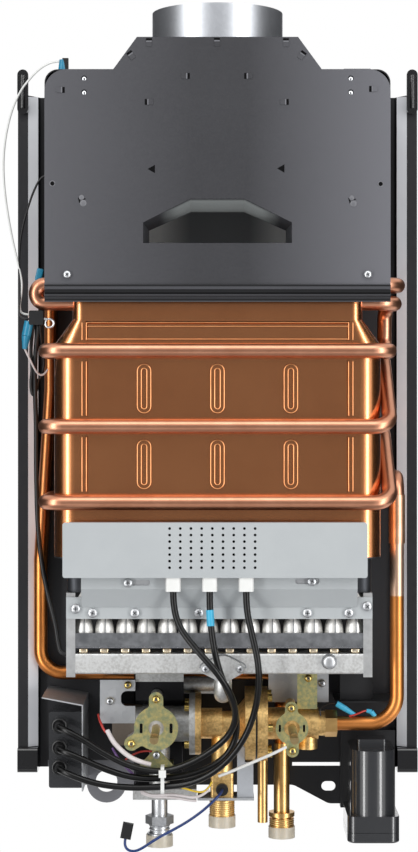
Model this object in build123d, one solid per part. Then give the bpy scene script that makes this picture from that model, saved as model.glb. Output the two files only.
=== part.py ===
from build123d import *
import os
from math import cos, pi, radians, sin, tan

# Tankless gas water heater with its front cover taken off, as an assembly of separate pieces.
# Millimetres. X is to the right seen from the front, the front faces -Y, Z is up.
# The origin is midway between the two upper wall slots, on the wall face of the back plate.

# Sheet metal and pan
SHEET = 1.0
PAN_WIDTH = 350.0
PAN_LIP = 9.5
PAN_FLARE = 8.5
PAN_DEPTH = 14.0
PAN_TOP = -13.0
PAN_BOTTOM = -604.0
PAN_CREST = 10.0
PAN_CREST_HALF = 130.0
WALL_SLOT_SPACING = 196.0
WALL_SLOT_LENGTH = 12.4
WALL_SLOT_WIDTH = 8.4
LOWER_SLOT_DROP = 621.0
LOWER_BAND_BOTTOM = -620.0
TAB_RADIUS = 15.5
TAB_DROP = 2.0
TAB_BLEND = 11.0
BAND_SLIT_LEFT = 66.0
BAND_SLIT_RIGHT = 108.0
BAND_SLIT_TOP = -600.0
BAND_SLIT_HEIGHT = 3.2
HANG_HOLE_RADIUS = 9.5

# Plastic ends on the pan's lips
HOOK_WIDTH = 9.6
HOOK_THICK = 6.0
HOOK_TOP = 9.0
HOOK_BOTTOM = -30.0
STOP_HEIGHT = 19.5
STOP_WIDTH = 17.5
STOP_THICK = 6.0
STOP_FOOT = 2.0

# Draught hood and flue collar
HOOD_HALF = 142.8
HOOD_FRONT = -124.0
HOOD_BACK = -8.0
HOOD_SHOULDER = -7.0
HOOD_TOP = 19.6
HOOD_TOP_HALF = 66.5
HOOD_SLOPE_HALF = 86.0
HOOD_BOTTOM = -199.0
HOOD_FRONT_CORNER = 18.0
HOOD_BODY_CORNER = 11.0
HOOD_RIB_WIDTH = 3.6
HOOD_RIB_TOP = -186.0
HOOD_RIB_PITCH = 7.2
BROW_BOTTOM = -150.5
BROW_SIDE = 17.0
BROW_HALF = 61.5
BROW_TOP_HALF = 22.5
BROW_RISE = 36.5
BROW_DEPTH = 35.0
BROW_TAPER = 8.0
HOOD_SCREW_X = 124.0
HOOD_SCREW_Z = -176.5
PANEL_HOLE_RADIUS = 2.2
PANEL_HOLE_X = 110.0
PANEL_HOLE_LEVELS = (-14.5, -26.0)
COLLAR_RADIUS = 55.5
COLLAR_WALL = 1.2
COLLAR_HEIGHT = 29.0
COLLAR_Y = -65.5
COLLAR_FLANGE = 5.0

# Copper heat exchanger
SHELL_HALF = 137.0
SHELL_FRONT = -110.0
SHELL_BACK = -36.0
SHELL_CORNER = 18.0
SHELL_WALL = 1.0
NECK_INSET = 16.0
NECK_HALF = SHELL_HALF - NECK_INSET
NECK_CORNER = 9.0
NECK_TOP = -170.0
FLARE_TOP = -213.0
FLARE_BOTTOM = -234.0
SHELL_BOTTOM = -411.0
SKIRT_NOTCH_TOP = -413.5
EMBOSS = 1.3
EMBOSS_EDGE = 0.9
EMBOSS_MARGIN = 9.0
EMBOSS_FRAME_HALF = SHELL_HALF - SHELL_CORNER - EMBOSS_MARGIN
EMBOSS_FRAME_TOP = -214.5
EMBOSS_FRAME_BOTTOM = -372.0
EMBOSS_RIB = 2.2
EMBOSS_SLOT_PITCH = (SHELL_HALF - NECK_INSET + SHELL_WALL) / 2
EMBOSS_SLOT_WIDTH = 12.2
EMBOSS_SLOT_LENGTH = 41.5
COIL_OD = 12.5
TUBE_WALL = 0.8
COIL_FIRST = -239.0
COIL_PITCH = 63.0
COIL_PASSES = 3
COIL_BEND = 14.0
COIL_SEAT = 0.25
COIL_OUTLET_RISE = 18.5
FIN_PITCH = 7.6
FIN_COUNT = 31
FIN_THICK = 0.8
FIN_HEIGHT = 36.0
FIN_TUBE_UPPER_Z = -183.0
FIN_TUBE_LOWER_Z = -198.5
FIN_TUBE_FRONT_Y = -90.0
FIN_TUBE_BACK_Y = -56.0
RETURN_LEFT_STUB = 23.8
RETURN_RIGHT_STUB = 15.0
HAIRPIN = 0.499
COIL_OUTLET_X = 154.0
COIL_RISE_Y = -50.0
PIPE_OD = 12.0
RISER_X = 153.5
SLEEVE_RADIUS = 6.9
SLEEVE_TOP = -361.0
SLEEVE_BOTTOM = -402.5
RISER_TOP = -381.0
RISER_BEND = 24.0
HOT_PIPE_TOP_X = -146.0
HOT_PIPE_X = -155.0
HOT_PIPE_Y = -14.5
HOT_RUN_Z = -519.0
HOT_LEAN_TOP = -271.0
HOT_LEAN_BOTTOM = -420.0
HOT_BEND = 20.0

# Channels between the pan and the exchanger
SPACER_WIDTH = 24.0
SPACER_HEIGHT = 18.0
SPACER_HOOD_X = 112.0
SPACER_HOOD_TOP = -24.0
SPACER_SHELL_X = 96.0
SPACER_SHELL_TOP = -385.0

# Burner
BURNER_X = 1.5
BURNER_INSET = 10.0
BURNER_HALF = SHELL_HALF - BURNER_INSET
BURNER_FRONT = -114.0
BURNER_BACK = -30.0
BURNER_SCREW_SHARES = (-0.937, -0.827, -0.551, -0.134, 0.575, 0.846, 0.965)
BURNER_SCREW_DROPS = (9.5, 13.0, 13.0, 13.0, 13.0, 13.0, 7.5)
BURNER_TOP = -440.0
BURNER_PLATE_TOP = -443.5
BURNER_SHEET = 1.2
BURNER_PLATE_BOTTOM = -461.5
BURNER_COUNT = 14
BURNER_MARGIN = 10.4
BURNER_PITCH = (2 * BURNER_HALF - BURNER_MARGIN) / BURNER_COUNT
BURNER_BLADE = 8.0
VENTURI_Y = -103.0
VENTURI_MOUTH = 7.7
VENTURI_THROAT = 4.8
VENTURI_BOTTOM = -477.5
VENTURI_WALL = 0.8
LOWER_BAR_TOP = -473.5
LOWER_BAR_BOTTOM = -486.0
SIDE_PLATE = 7.5
SIDE_PLATE_BOTTOM = -510.0
MANIFOLD_TOP = -490.5
MANIFOLD_BOTTOM = -507.5
MANIFOLD_CORNER = 1.6
MANIFOLD_DEPTH = 24.0
NOZZLE_RADIUS = 3.6
NOZZLE_HEIGHT = 5.2
MANIFOLD_NECK_X = 4.5
MANIFOLD_NECK_RADIUS = 7.5
MANIFOLD_NECK_Z = -526.5
MANIFOLD_NECK_Y = -40.0
MANIFOLD_FLANGE_Z = -502.5
MANIFOLD_EAR = 14.4
MANIFOLD_EAR_RADIUS = 4.2
MANIFOLD_FLANGE_RADIUS = 10.8
MANIFOLD_BOSS = 6.0
PLUG_X = 92.7
PLUG_Z = -497.0
PLUG_RADIUS = 5.2

# Electrode cover, bracket and leads
COVER_X = -2.0
COVER_HALF = SHELL_HALF - 2 * (NECK_INSET - BURNER_INSET)
COVER_TOP = -380.5
COVER_HEIGHT = 45.3
COVER_FRONT = -136.0
COVER_RETURN = 9.0
COVER_HOLE_RADIUS = 1.15
COVER_HOLE_COLUMNS = 9
COVER_HOLE_ROWS = 7
COVER_HOLE_PITCH_X = 8.76
COVER_HOLE_PITCH_Z = 5.35
COVER_HOLE_TOP = -385.3
COVER_HOLE_X = -4.2
BRACKET_INSET = 13.0
BRACKET_HALF = BURNER_HALF - BRACKET_INSET
BRACKET_FRONT = -125.0
BRACKET_TOP = -420.0
BRACKET_FOLD = -436.0
BRACKET_BOTTOM = -451.5
BRACKET_SLOTS = ((-65.5, -430.6), (74.0, -429.4))
BRACKET_SLOT_LENGTH = 20.0
BRACKET_SLOT_WIDTH = 4.6
BRACKET_SCREWS = ((-73.8, -430.6), (77.9, -429.4))
BOOT_PITCH = 30.0
BOOT_CENTRE_X = -6.4
BOOT_WIDTH = 12.4
BOOT_DEPTH = 10.0
BOOT_HEIGHT = 11.4
LEAD_OD = 5.5
ELECTRODE_RADIUS = 1.2
ELECTRODE_REACH = 45.0

# Igniter box and its shield
IGNITER_INSET = 45.4
IGNITER_X = IGNITER_INSET - PAN_WIDTH / 2
IGNITER_WIDTH = 29.0
IGNITER_TOP = -546.5
IGNITER_HEIGHT = 65.0
IGNITER_FRONT = -62.0
IGNITER_DEPTH = 40.0
BUSHING_OFFSET = 4.9
BUSHING_X = IGNITER_X - BUSHING_OFFSET
BUSHING_Z = (-557.0, -575.5, -592.5)
BUSHING_RADIUS = 6.2
BUSHING_LENGTH = 9.0
SHIELD_INSET = 26.0
SHIELD_LEFT = SHIELD_INSET - PAN_WIDTH / 2
SHIELD_LEFT_Z = -532.0
SHIELD_FOLD_Z = -538.5
SHIELD_FRONT = -76.0
SHIELD_BOTTOM = -612.0

# Gas valve
VALVE_Y = -60.0
GAS_LEFT = -72.0
GAS_RIGHT = -29.0
GAS_TOP = -511.0
GAS_BOTTOM = -612.0
GAS_FOOT = 8.0
GAS_DUCT_FRONT = -60.0
GAS_DUCT_BOTTOM = -537.0
GAS_HOUSING_FRONT = -46.0
GAS_BACK = -23.0
GAS_LUG_LEFT = -90.0
GAS_LUG_FRONT = -63.0
GAS_LUG_TOP = -542.0
GAS_LUG_BOTTOM = -575.0
GAS_EDGE = 2.0
GAS_BARREL_START = -69.5
GAS_FOOT_RIGHT = -18.0
GAS_COLUMN_RADIUS = 8.8
GAS_PAD_RADIUS = 13.0
GAS_BARREL_RADIUS = 15.5
GAS_BARREL_END = -24.0
GAS_FLANGE = 5.0
GAS_FLANGE_RADIUS = 26.5
SPINDLE_GAS_X = -51.7
SPINDLE_WATER_X = 62.7
SPINDLE_Z = -556.5
SPINDLE_RADIUS = 3.5
SPINDLE_TIP = -150.0
SPINDLE_HOLE = 6.6
SPINDLE_CLEARANCE = 0.05
SPINDLE_FOOT = -66.0
KNOB_PLATE = 1.5
KNOB_PLATE_BACK = -87.0
KNOB_PAD_MARGIN = 3.0
GAS_DISC_RADIUS = 18.6
GAS_LOBE_RADIUS = 6.0
GAS_EARS = ((0.0, 24.6), (-20.8, -12.8))
WATER_DISC_RADIUS = 13.8
WATER_LOBE_RADIUS = 5.4
WATER_EARS = ((-0.5, 17.0), (0.5, -19.0))
INLET_Y = -55.0
GAS_INLET_X = -49.7
GAS_INLET_OD = 13.6
GAS_HEX_TOP = -636.0
GAS_HEX_HEIGHT = 7.0
GAS_HEX_FLATS = 21.0
THREAD_OD = 20.96
THREAD_BORE = 14.0
CAP_OD = 23.0
CAP_FLOOR = 1.2
CAP_HEIGHT = 9.6
CAP_CLEARANCE = 0.3
GAS_NECK_OD = 16.8
GAS_THREAD_TOP = -651.0
GAS_THREAD_BOTTOM = -660.5

# Water valve
WATER_BARREL_RADIUS = 13.0
WATER_BARREL_START = -19.0
WATER_NECK_RADIUS = 10.5
DIAPHRAGM_X = 33.0
DIAPHRAGM_RADIUS = 31.5
DIAPHRAGM_HALF = 9.5
DIAPHRAGM_SHEET = 1.6
WATER_BODY_END = 86.0
WATER_BODY_HALF = 13.5
DRAIN_X = 77.0
DRAIN_RADIUS = 8.4
DRAIN_DROP = 21.5
COLD_X = 3.9
COLD_SHOULDER = -618.0
COLD_THREAD_BOTTOM = -643.0
COLD_BLOCK = 20.0
COLD_BLOCK_TOP = -598.0
COLD_STEM_RADIUS = 9.0
GROMMET_Z = -611.0
GROMMET_LENGTH = 5.0
GROMMET_RADIUS = 5.2
RELIEF_X = 38.6
RELIEF_OD = 8.6
RELIEF_BORE = 5.0
RELIEF_BOTTOM = -641.0
HOT_X = 55.8
HOT_Y = -30.0
HOT_TUBE_OD = 13.8
HOT_TUBE_TOP = -578.0
HOT_FLANGE_TOP = -637.8
HOT_FLANGE = 3.6
HOT_FLANGE_OD = 22.4
HOT_THREAD_TOP = -643.0
HOT_THREAD_BOTTOM = -658.5
NUT_FLATS = 20.0
NUT_LENGTH = 10.0
NUT_LEFT = 92.0
PUSH_ROD_RADIUS = 2.0
PUSH_ROD_LEFT = -16.0
PUSH_ROD_CLEARANCE = 0.05
END_GAP = 0.3
PUSH_ROD_TRAVEL = 3.0
PUSH_HEAD = 1.2
SWITCH_LEFT = 16.8
SWITCH_RIGHT = 30.5
SWITCH_DEPTH = 20.0
SWITCH_BOTTOM = -618.0

# Valve supports
PLATE_LEFT = 44.0
PLATE_RIGHT = 96.0
PLATE_FRONT = -42.5
PLATE_TOP = -510.0
PLATE_BOTTOM = -541.0
BRACKET_LEFT = 68.0
BRACKET_RIGHT = 85.0
BRACKET_Y = -66.0
VALVE_BRACKET_BOTTOM = -543.5
LUG_PLATE_LEFT = -100.3
LUG_PLATE_RIGHT = -70.2
LUG_PLATE_TOP = -519.0
LUG_PLATE_BOTTOM = -556.0
LUG_NOTCH_LEFT = -82.4
LUG_NOTCH_TOP = -528.4
LUG_NOTCH_BOTTOM = -541.2
LUG_NOTCH_CORNER = 5.0
LUG_FOOT_TOP = -527.5
INLET_PLATE = 2.0
INLET_PLATE_LEFT = -17.0
INLET_PLATE_RIGHT = 31.0
INLET_PLATE_FRONT = -74.0
INLET_PLATE_BACK = -44.0
SEAT_Y = -78.5
SEAT_SCREW_Z = -580.2
SEAT_RADIUS = 4.4
SEAT_WIDTH = 28.0
SEAT_BOTTOM = -590.0
PLATE_SCREWS = (
    (-91.8, GAS_LUG_FRONT - SHEET, -537.0), (-76.4, GAS_LUG_FRONT - SHEET, -523.2),
    (90.3, PLATE_FRONT, -524.6), (77.4, BRACKET_Y, -517.0),
    (SPINDLE_GAS_X, SEAT_Y - KNOB_PLATE, SEAT_SCREW_Z),
)

# Battery case
BATTERY_INSET = 43.0
BATTERY_X = PAN_WIDTH / 2 - BATTERY_INSET
BATTERY_Y = -48.0
BATTERY_LENGTH = 72.0
BATTERY_OD = 37.6
BATTERY_TOP = -577.0
BATTERY_BOTTOM = -632.0
BATTERY_WALL = 1.6
BATTERY_BASE_WIDTH = 44.0
BATTERY_BASE_CORNER = 8.0
BATTERY_BASE_HEIGHT = 13.6
BATTERY_LID_HEIGHT = 8.6
BATTERY_CAP_WIDTH = 24.4
BATTERY_CAP_HEIGHT = 6.6
CELL_OD = 33.2
CELL_LENGTH = 61.0
BATTERY_BRACKET_WIDTH = 48.0
BATTERY_BRACKET_LEFT = BATTERY_X - BATTERY_BRACKET_WIDTH / 2
BATTERY_BRACKET_RIGHT = BATTERY_X + BATTERY_BRACKET_WIDTH / 2
BATTERY_BRACKET_TOP = -570.0
BATTERY_BRACKET_BOTTOM = -638.0
SHELF_Z = -540.0
SHELF_LEFT = 101.5
SHELF_RIGHT = 156.0
SHELF_FRONT = -52.0
SHELF_UPRIGHT_LEFT = 106.0
SHELF_UPRIGHT_RIGHT = 134.0
SHELF_UPRIGHT_TOP = -512.0
SHELF_UPRIGHT_Y = -40.0

# Sensors, ties and small electrical pieces
TERMINAL_X = -130.0
TERMINAL_Y = -95.0
TERMINAL_HEIGHT = 11.0
TERMINAL_WIDTH = 5.0
SWITCH_BLOCK_X = -152.0
SWITCH_BLOCK_WIDTH = 12.0
SWITCH_BLOCK_HEIGHT = 12.0
SWITCH_BLOCK_DEPTH = 15.0
TIE_X = -46.0
TIE_Y = -95.6
TIE_Z = -598.0
TIE_WIDTH = 3.0
TIE_INNER_DEPTH = 13.4
TIE_INNER_HEIGHT = 21.0
TIE_BAND = 1.2
CONNECTOR_LENGTH = 13.0
CONNECTOR_WIDTH = 9.0
CONNECTOR_DEPTH = 6.0
SENSOR_WIRE_OD = 1.8
HARNESS_OD = 4.0
BLUE_LEAD_OD = 2.8
SLEEVE_OD = 5.0
SCREW_RADIUS = 4.0
SCREW_HEIGHT = 2.0
SMALL_SCREW_RADIUS = 3.2
BOLT_RADIUS = 3.2
BOLT_HEIGHT = 4.0

# Routes of the leads, as points along their middle lines
LEAD_LEFT = (
    (-36.4, -130, -437.2), (-36.4, -130, -450), (-31, -133, -468), (-15, -138.5, -487), (1, -141, -504),
    (12, -133, -523), (16, -121, -541), (11, -113, -557), (-3, -108, -571), (-22, -104, -583),
    (-46, -98, -592), (-72, -94, -588.5), (-96, -91, -577), (-114, -90, -565), (-128, -89.5, -558),
    (-134.5, -83, -557), (-134.5, -71, -557),
)
LEAD_MIDDLE = (
    (-6.4, -130, -437.2), (-6.4, -130, -453), (-4.6, -132, -474), (-1, -131.5, -494), (5, -125, -513),
    (13, -114, -531), (17, -105, -550), (14, -101, -568), (3, -98, -583), (-20, -96, -594),
    (-46, -93, -598), (-72, -91, -598), (-97, -89, -590), (-114, -90, -582), (-128, -89.5, -576.5),
    (-134.5, -83, -575.5), (-134.5, -71, -575.5),
)
LEAD_RIGHT = (
    (23.6, -130, -437.2), (23.6, -130, -452), (28.5, -134, -473), (34, -136, -497), (34, -130, -520),
    (30, -122, -541), (23, -118, -559), (12, -114, -576), (-3, -110, -590), (-23, -104, -600.5),
    (-46, -98, -604), (-72, -95, -605.5), (-98, -92, -603.5), (-116, -90.5, -598.5), (-128.5, -89, -593.5),
    (-134.5, -82.5, -592.5), (-134.5, -71, -592.5),
)
WHITE_WIRE = (
    (-130, -95, 4.0), (-137, -95, 4.0), (-145, -92, 1.4), (-152, -88, -3), (-159, -84, -9.5),
    (-165.5, -81, -17), (-170.5, -79, -26), (-175, -77, -37), (-178.5, -75, -50), (-181, -74, -65),
    (-182, -73, -81), (-181.3, -72, -98),
    (-179.3, -72, -115), (-176.5, -72, -132), (-173, -73, -149), (-169, -75, -165), (-165.5, -78, -179),
    (-165.3, -82.5, -190), (-167, -86, -200), (-165.5, -88, -208), (-158, -88, -208),
)
BLACK_WIRE = (
    (-142.8, -80, -90), (-148.5, -80, -90), (-155.5, -78, -102), (-162, -76, -121), (-165.8, -75, -135),
    (-168, -74, -150), (-168.5, -75, -165), (-167, -78, -180), (-166.4, -84, -193), (-167.4, -90, -204),
    (-165.5, -92, -212), (-158, -92, -212),
)
HARNESS = (
    (-152, -88, -217), (-152, -88, -227), (-154, -82, -243), (-155, -74, -260), (-155.2, -67, -280),
    (-155, -61, -304), (-155.4, -57, -332), (-155.2, -54, -362), (-154.2, -53, -392), (-151, -54, -421),
    (-145, -56, -449), (-138.5, -59, -473), (-136.5, -62, -487), (-133.5, -63, -497.5), (-125.5, -63, -497.5),
)
BLUE_LEAD = (
    (3.9, -75, -611), (3.9, -81, -611), (0.5, -87.5, -614), (-5.5, -90, -619.5), (-14, -89.5, -627),
    (-25, -88, -635), (-36.5, -87, -641.8), (-47.5, -86, -647.6), (-56.5, -86, -653.2), (-63.5, -86, -658),
    (-70, -86, -660.8), (-76, -86, -659.5), (-78.6, -86, -654.5), (-77.6, -86, -649.5),
)
HARNESS_SLEEVE = (
    (-93, -83, -559), (-89.5, -86.5, -566), (-83, -89, -573), (-75, -91, -579.5), (-65.5, -92, -584),
    (-56, -91.5, -586.5),
)

PART_FOLDER = "parts"


def block(x_range, y_range, z_range):
    """Return a box between two values on each axis."""
    spans = [sorted(span) for span in (x_range, y_range, z_range)]
    middle = [(low + high) / 2 for low, high in spans]
    size = [high - low for low, high in spans]
    return Pos(*middle) * Box(*size)


def rod(start, end, radius):
    """Return a round bar from one point to another."""
    line = Vector(*end) - Vector(*start)
    return Solid.make_cylinder(radius, line.length, Plane(origin=start, z_dir=line))


def cone(start, end, radius, end_radius):
    """Return a round taper from one point to another."""
    line = Vector(*end) - Vector(*start)
    return Solid.make_cone(radius, end_radius, line.length, Plane(origin=start, z_dir=line))


def hex_bar(start, end, flats):
    """Return a six-sided bar, measured across its flats."""
    line = Vector(*end) - Vector(*start)
    section = Plane(origin=start, z_dir=line) * RegularPolygon(flats / 2, 6, major_radius=False)
    return extrude(section, line.length, dir=line)


def upright(sketch, back, thickness):
    """Raise a sketch drawn in X and Z from the plane Y = back towards the front."""
    return extrude(Plane.XZ.offset(-back) * sketch, thickness)


def polygon(*points):
    """Return a filled outline through points of a sketch."""
    return make_face(Polyline(*points, close=True))


def tube(points, diameter, bends, wall=0):
    """Sweep a round bar, or a pipe of some wall, along straight runs joined by tangent arcs."""
    path = FilletPolyline(*points, radius=bends)
    section = Circle(diameter / 2)
    if wall:
        section -= Circle(diameter / 2 - wall)
    return sweep(Plane(origin=path @ 0, z_dir=path % 0) * section, path=path)


def bend_radii(points):
    """Return the largest arc that each corner of a cord's route has room for."""
    route = [Vector(*point) for point in points]
    radii = []
    for before, corner, after in zip(route, route[1:], route[2:]):
        runs = (corner - before, after - corner)
        turn = radians(runs[0].get_angle(runs[1]))
        radii.append(0.45 * min(run.length for run in runs) / tan(turn / 2))
    return radii


def cord(name, points, diameter):
    """Return a flexible lead along its route and print its tightest bend and its volume."""
    radii = bend_radii(points)
    solid = tube(points, diameter, radii)
    path = FilletPolyline(*points, radius=radii)
    expected = pi * diameter ** 2 / 4 * path.length
    tightest = min(radii)
    print(f"{name}: length {path.length:.0f}, tightest bend {tightest:.1f}, "
          f"volume ratio {solid.volume / expected:.3f}")
    return solid


def mirrored(shape):
    """Return a shape and its mirror image across the middle of the heater."""
    return [shape, mirror(shape, about=Plane.YZ)]


def pan_section(side):
    """Return the bent edge of the pan in X and Y: slanted strip and raised lip on one side."""
    outer = PAN_WIDTH / 2
    lip = outer - PAN_LIP
    foot = lip - PAN_FLARE
    points = [
        (foot, 0), (lip + SHEET * 0.6, -PAN_DEPTH), (outer, -PAN_DEPTH),
        (outer, -PAN_DEPTH - SHEET), (lip, -PAN_DEPTH - SHEET), (foot - SHEET * 0.6, -SHEET),
        (foot - SHEET * 2, -SHEET), (foot - SHEET * 2, 0),
    ]
    return polygon(*[(side * x, y) for x, y in points])


def back_plate():
    """Wall pan: flat sheet, slanted edges with raised lips, and a lower band with two fixing tabs."""
    foot = PAN_WIDTH / 2 - PAN_LIP - PAN_FLARE
    half_spacing = WALL_SLOT_SPACING / 2
    sheet = Rectangle(2 * foot, PAN_TOP - PAN_BOTTOM, align=(Align.CENTER, Align.MAX))
    face = Pos(0, PAN_TOP) * sheet
    crest = Rectangle(2 * PAN_CREST_HALF, PAN_CREST - PAN_TOP + SHEET, align=(Align.CENTER, Align.MAX))
    face += Pos(0, PAN_CREST) * crest
    band_top = PAN_BOTTOM + SHEET
    band = polygon(
        (-half_spacing - 3 * TAB_RADIUS / 2, band_top), (half_spacing + 3.6 * TAB_RADIUS, band_top),
        (half_spacing + 3.6 * TAB_RADIUS, -LOWER_SLOT_DROP - TAB_RADIUS),
        (half_spacing, -LOWER_SLOT_DROP - TAB_RADIUS),
        (half_spacing - 2 * TAB_RADIUS, LOWER_BAND_BOTTOM),
        (-half_spacing - 3 * TAB_RADIUS / 2, LOWER_BAND_BOTTOM),
    )
    steps = [v for v in band.vertices() if half_spacing - 3 * TAB_RADIUS < v.X < half_spacing + SHEET]
    face += fillet(steps, TAB_BLEND)
    slit_height = (BAND_SLIT_TOP, BAND_SLIT_TOP - BAND_SLIT_HEIGHT)
    face -= polygon((BAND_SLIT_LEFT, slit_height[0]), (BAND_SLIT_RIGHT, slit_height[0]),
                    (BAND_SLIT_RIGHT, slit_height[1]), (BAND_SLIT_LEFT, slit_height[1]))
    tab_z = -LOWER_SLOT_DROP - TAB_DROP + HANG_HOLE_RADIUS / 2
    face += Pos(-half_spacing, tab_z) * Circle(TAB_RADIUS + TAB_DROP)
    slot = SlotOverall(WALL_SLOT_LENGTH, WALL_SLOT_WIDTH)
    for side in (-1, 1):
        face -= Pos(side * half_spacing, 0) * slot
    face -= Pos(half_spacing, -LOWER_SLOT_DROP) * slot
    face -= Pos(-half_spacing, -LOWER_SLOT_DROP + WALL_SLOT_WIDTH / 2) * Circle(HANG_HOLE_RADIUS)
    pan = upright(face, 0, SHEET)
    for side in (-1, 1):
        edge = Pos(0, 0, PAN_BOTTOM) * extrude(pan_section(side), PAN_TOP - PAN_BOTTOM)
        pan += edge
    return pan


def cover_hooks():
    """Two rounded plastic hooks that stand on the tops of the pan's lips."""
    centre = PAN_WIDTH / 2 - PAN_LIP / 2
    outline = Pos(centre, (HOOK_TOP + HOOK_BOTTOM) / 2) * SlotOverall(
        HOOK_TOP - HOOK_BOTTOM, HOOK_WIDTH, rotation=90)
    return mirrored(upright(outline, -PAN_DEPTH - SHEET, HOOK_THICK))


def cover_stops(pan):
    """Two plastic end blocks that wrap the bottoms of the pan's lips."""
    outer = PAN_WIDTH / 2
    low = PAN_BOTTOM - STOP_FOOT
    body = block((outer - STOP_WIDTH, outer), (-SHEET, -PAN_DEPTH - SHEET - STOP_THICK),
                 (low, low + STOP_HEIGHT + STOP_FOOT))
    body = fillet(body.edges().filter_by(Axis.X).sort_by(Axis.Y)[:2], STOP_THICK / 2)
    return mirrored(body - pan)


def hood_outline(corner, top):
    """Return the hood's front outline: square shoulders, sloped crown and rounded upper corners."""
    face = polygon(
        (-HOOD_HALF, HOOD_BOTTOM), (-HOOD_HALF, HOOD_SHOULDER), (-HOOD_SLOPE_HALF, HOOD_SHOULDER),
        (-HOOD_TOP_HALF, top), (HOOD_TOP_HALF, top), (HOOD_SLOPE_HALF, HOOD_SHOULDER),
        (HOOD_HALF, HOOD_SHOULDER), (HOOD_HALF, HOOD_BOTTOM),
    )
    shoulders = [
        corner for corner in face.vertices()
        if abs(corner.X) > HOOD_SLOPE_HALF + SHEET and corner.Y > HOOD_BOTTOM + SHEET
    ]
    return fillet(shoulders, corner)


def brow_outline(taper):
    """Return the draught opening's outline, drawn in by a taper at the sides and top."""
    half = BROW_HALF - taper / 2
    side = BROW_BOTTOM + BROW_SIDE - taper / 2
    top = BROW_BOTTOM + BROW_RISE - taper
    return polygon(
        (-half, BROW_BOTTOM), (-half, side), (-BROW_TOP_HALF, top),
        (BROW_TOP_HALF, top), (half, side), (half, BROW_BOTTOM),
    )


def brow_duct(grow):
    """Return the solid tapered passage of the draught opening, grown by a wall."""
    front = offset(brow_outline(0), grow, kind=Kind.INTERSECTION) if grow else brow_outline(0)
    inner = brow_outline(BROW_TAPER)
    back = offset(inner, grow, kind=Kind.INTERSECTION) if grow else inner
    return loft([
        (Plane.XZ.offset(-HOOD_FRONT) * front).face(),
        (Plane.XZ.offset(-HOOD_FRONT - BROW_DEPTH) * back).face(),
    ], ruled=True)


def flue_hood_front():
    """Front sheet of the draught hood with its tapered draught opening, ribs and sighting holes."""
    panel = upright(hood_outline(HOOD_FRONT_CORNER, HOOD_TOP), HOOD_FRONT + SHEET, SHEET)
    for index in range(2):
        level = HOOD_RIB_TOP - index * HOOD_RIB_PITCH
        panel += rod((-HOOD_HALF, HOOD_FRONT, level), (HOOD_HALF, HOOD_FRONT, level), HOOD_RIB_WIDTH / 2)
    panel += brow_duct(SHEET)
    panel -= brow_duct(0)
    holes = [(side * PANEL_HOLE_X, level) for side in (-1, 1) for level in PANEL_HOLE_LEVELS]
    for x, z in holes:
        panel -= rod((x, HOOD_FRONT - SHEET, z), (x, HOOD_FRONT + 2 * SHEET, z), PANEL_HOLE_RADIUS)
    return panel


def flue_hood_body():
    """Box of the draught hood: sides, sloped crown, rear sheet and a floor open to the heat exchanger."""
    depth = HOOD_BACK - HOOD_FRONT - SHEET
    outline = hood_outline(HOOD_BODY_CORNER, HOOD_TOP - SHEET)
    above = Pos(0, NECK_TOP) * Rectangle(3 * HOOD_HALF, HOOD_TOP - NECK_TOP, align=(Align.CENTER, Align.MIN))
    outline = outline & above
    box = upright(outline, HOOD_BACK, depth)
    box -= upright(offset(outline, -SHEET), HOOD_BACK - SHEET, depth)
    box -= block((-NECK_HALF + SHELL_WALL, NECK_HALF - SHELL_WALL),
                 (SHELL_FRONT + SHELL_WALL, SHELL_BACK - SHELL_WALL),
                 (NECK_TOP - SHEET, NECK_TOP + 2 * SHEET))
    bore = COLLAR_RADIUS - COLLAR_WALL
    return box - rod((0, COLLAR_Y, HOOD_TOP - 9 * SHEET), (0, COLLAR_Y, HOOD_TOP + SHEET), bore)


def flue_collar():
    """Galvanised flue spigot with a flat flange on the hood's crown."""
    base = HOOD_TOP - SHEET
    top = base + COLLAR_HEIGHT + SHEET
    flange = rod((0, COLLAR_Y, base), (0, COLLAR_Y, base + SHEET), COLLAR_RADIUS + COLLAR_FLANGE)
    crown = block((-HOOD_TOP_HALF, HOOD_TOP_HALF), (HOOD_FRONT + SHEET, HOOD_BACK), (base - SHEET, top))
    ring = rod((0, COLLAR_Y, base), (0, COLLAR_Y, top), COLLAR_RADIUS) + (flange & crown)
    return ring - rod((0, COLLAR_Y, base - SHEET), (0, COLLAR_Y, top + SHEET), COLLAR_RADIUS - COLLAR_WALL)


def shell_ring(half, corner, level, wall):
    """Return one rounded cross-section of the combustion shell, drawn in by a wall."""
    depth = SHELL_BACK - SHELL_FRONT
    middle = (SHELL_BACK + SHELL_FRONT) / 2
    section = RectangleRounded(2 * (half - wall), depth - 2 * wall, corner - wall)
    return (Pos(0, middle, level) * section).face()


def shell_form(wall):
    """Return the solid form of the shell: neck, flare and straight chamber."""
    neck = extrude(shell_ring(NECK_HALF, NECK_CORNER, FLARE_TOP, wall), NECK_TOP - FLARE_TOP)
    flare = loft([shell_ring(SHELL_HALF, SHELL_CORNER, FLARE_BOTTOM, wall),
                  shell_ring(NECK_HALF, NECK_CORNER, FLARE_TOP, wall)], ruled=True)
    chamber = extrude(shell_ring(SHELL_HALF, SHELL_CORNER, SHELL_BOTTOM, wall), FLARE_BOTTOM - SHELL_BOTTOM)
    return neck + flare + chamber


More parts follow.
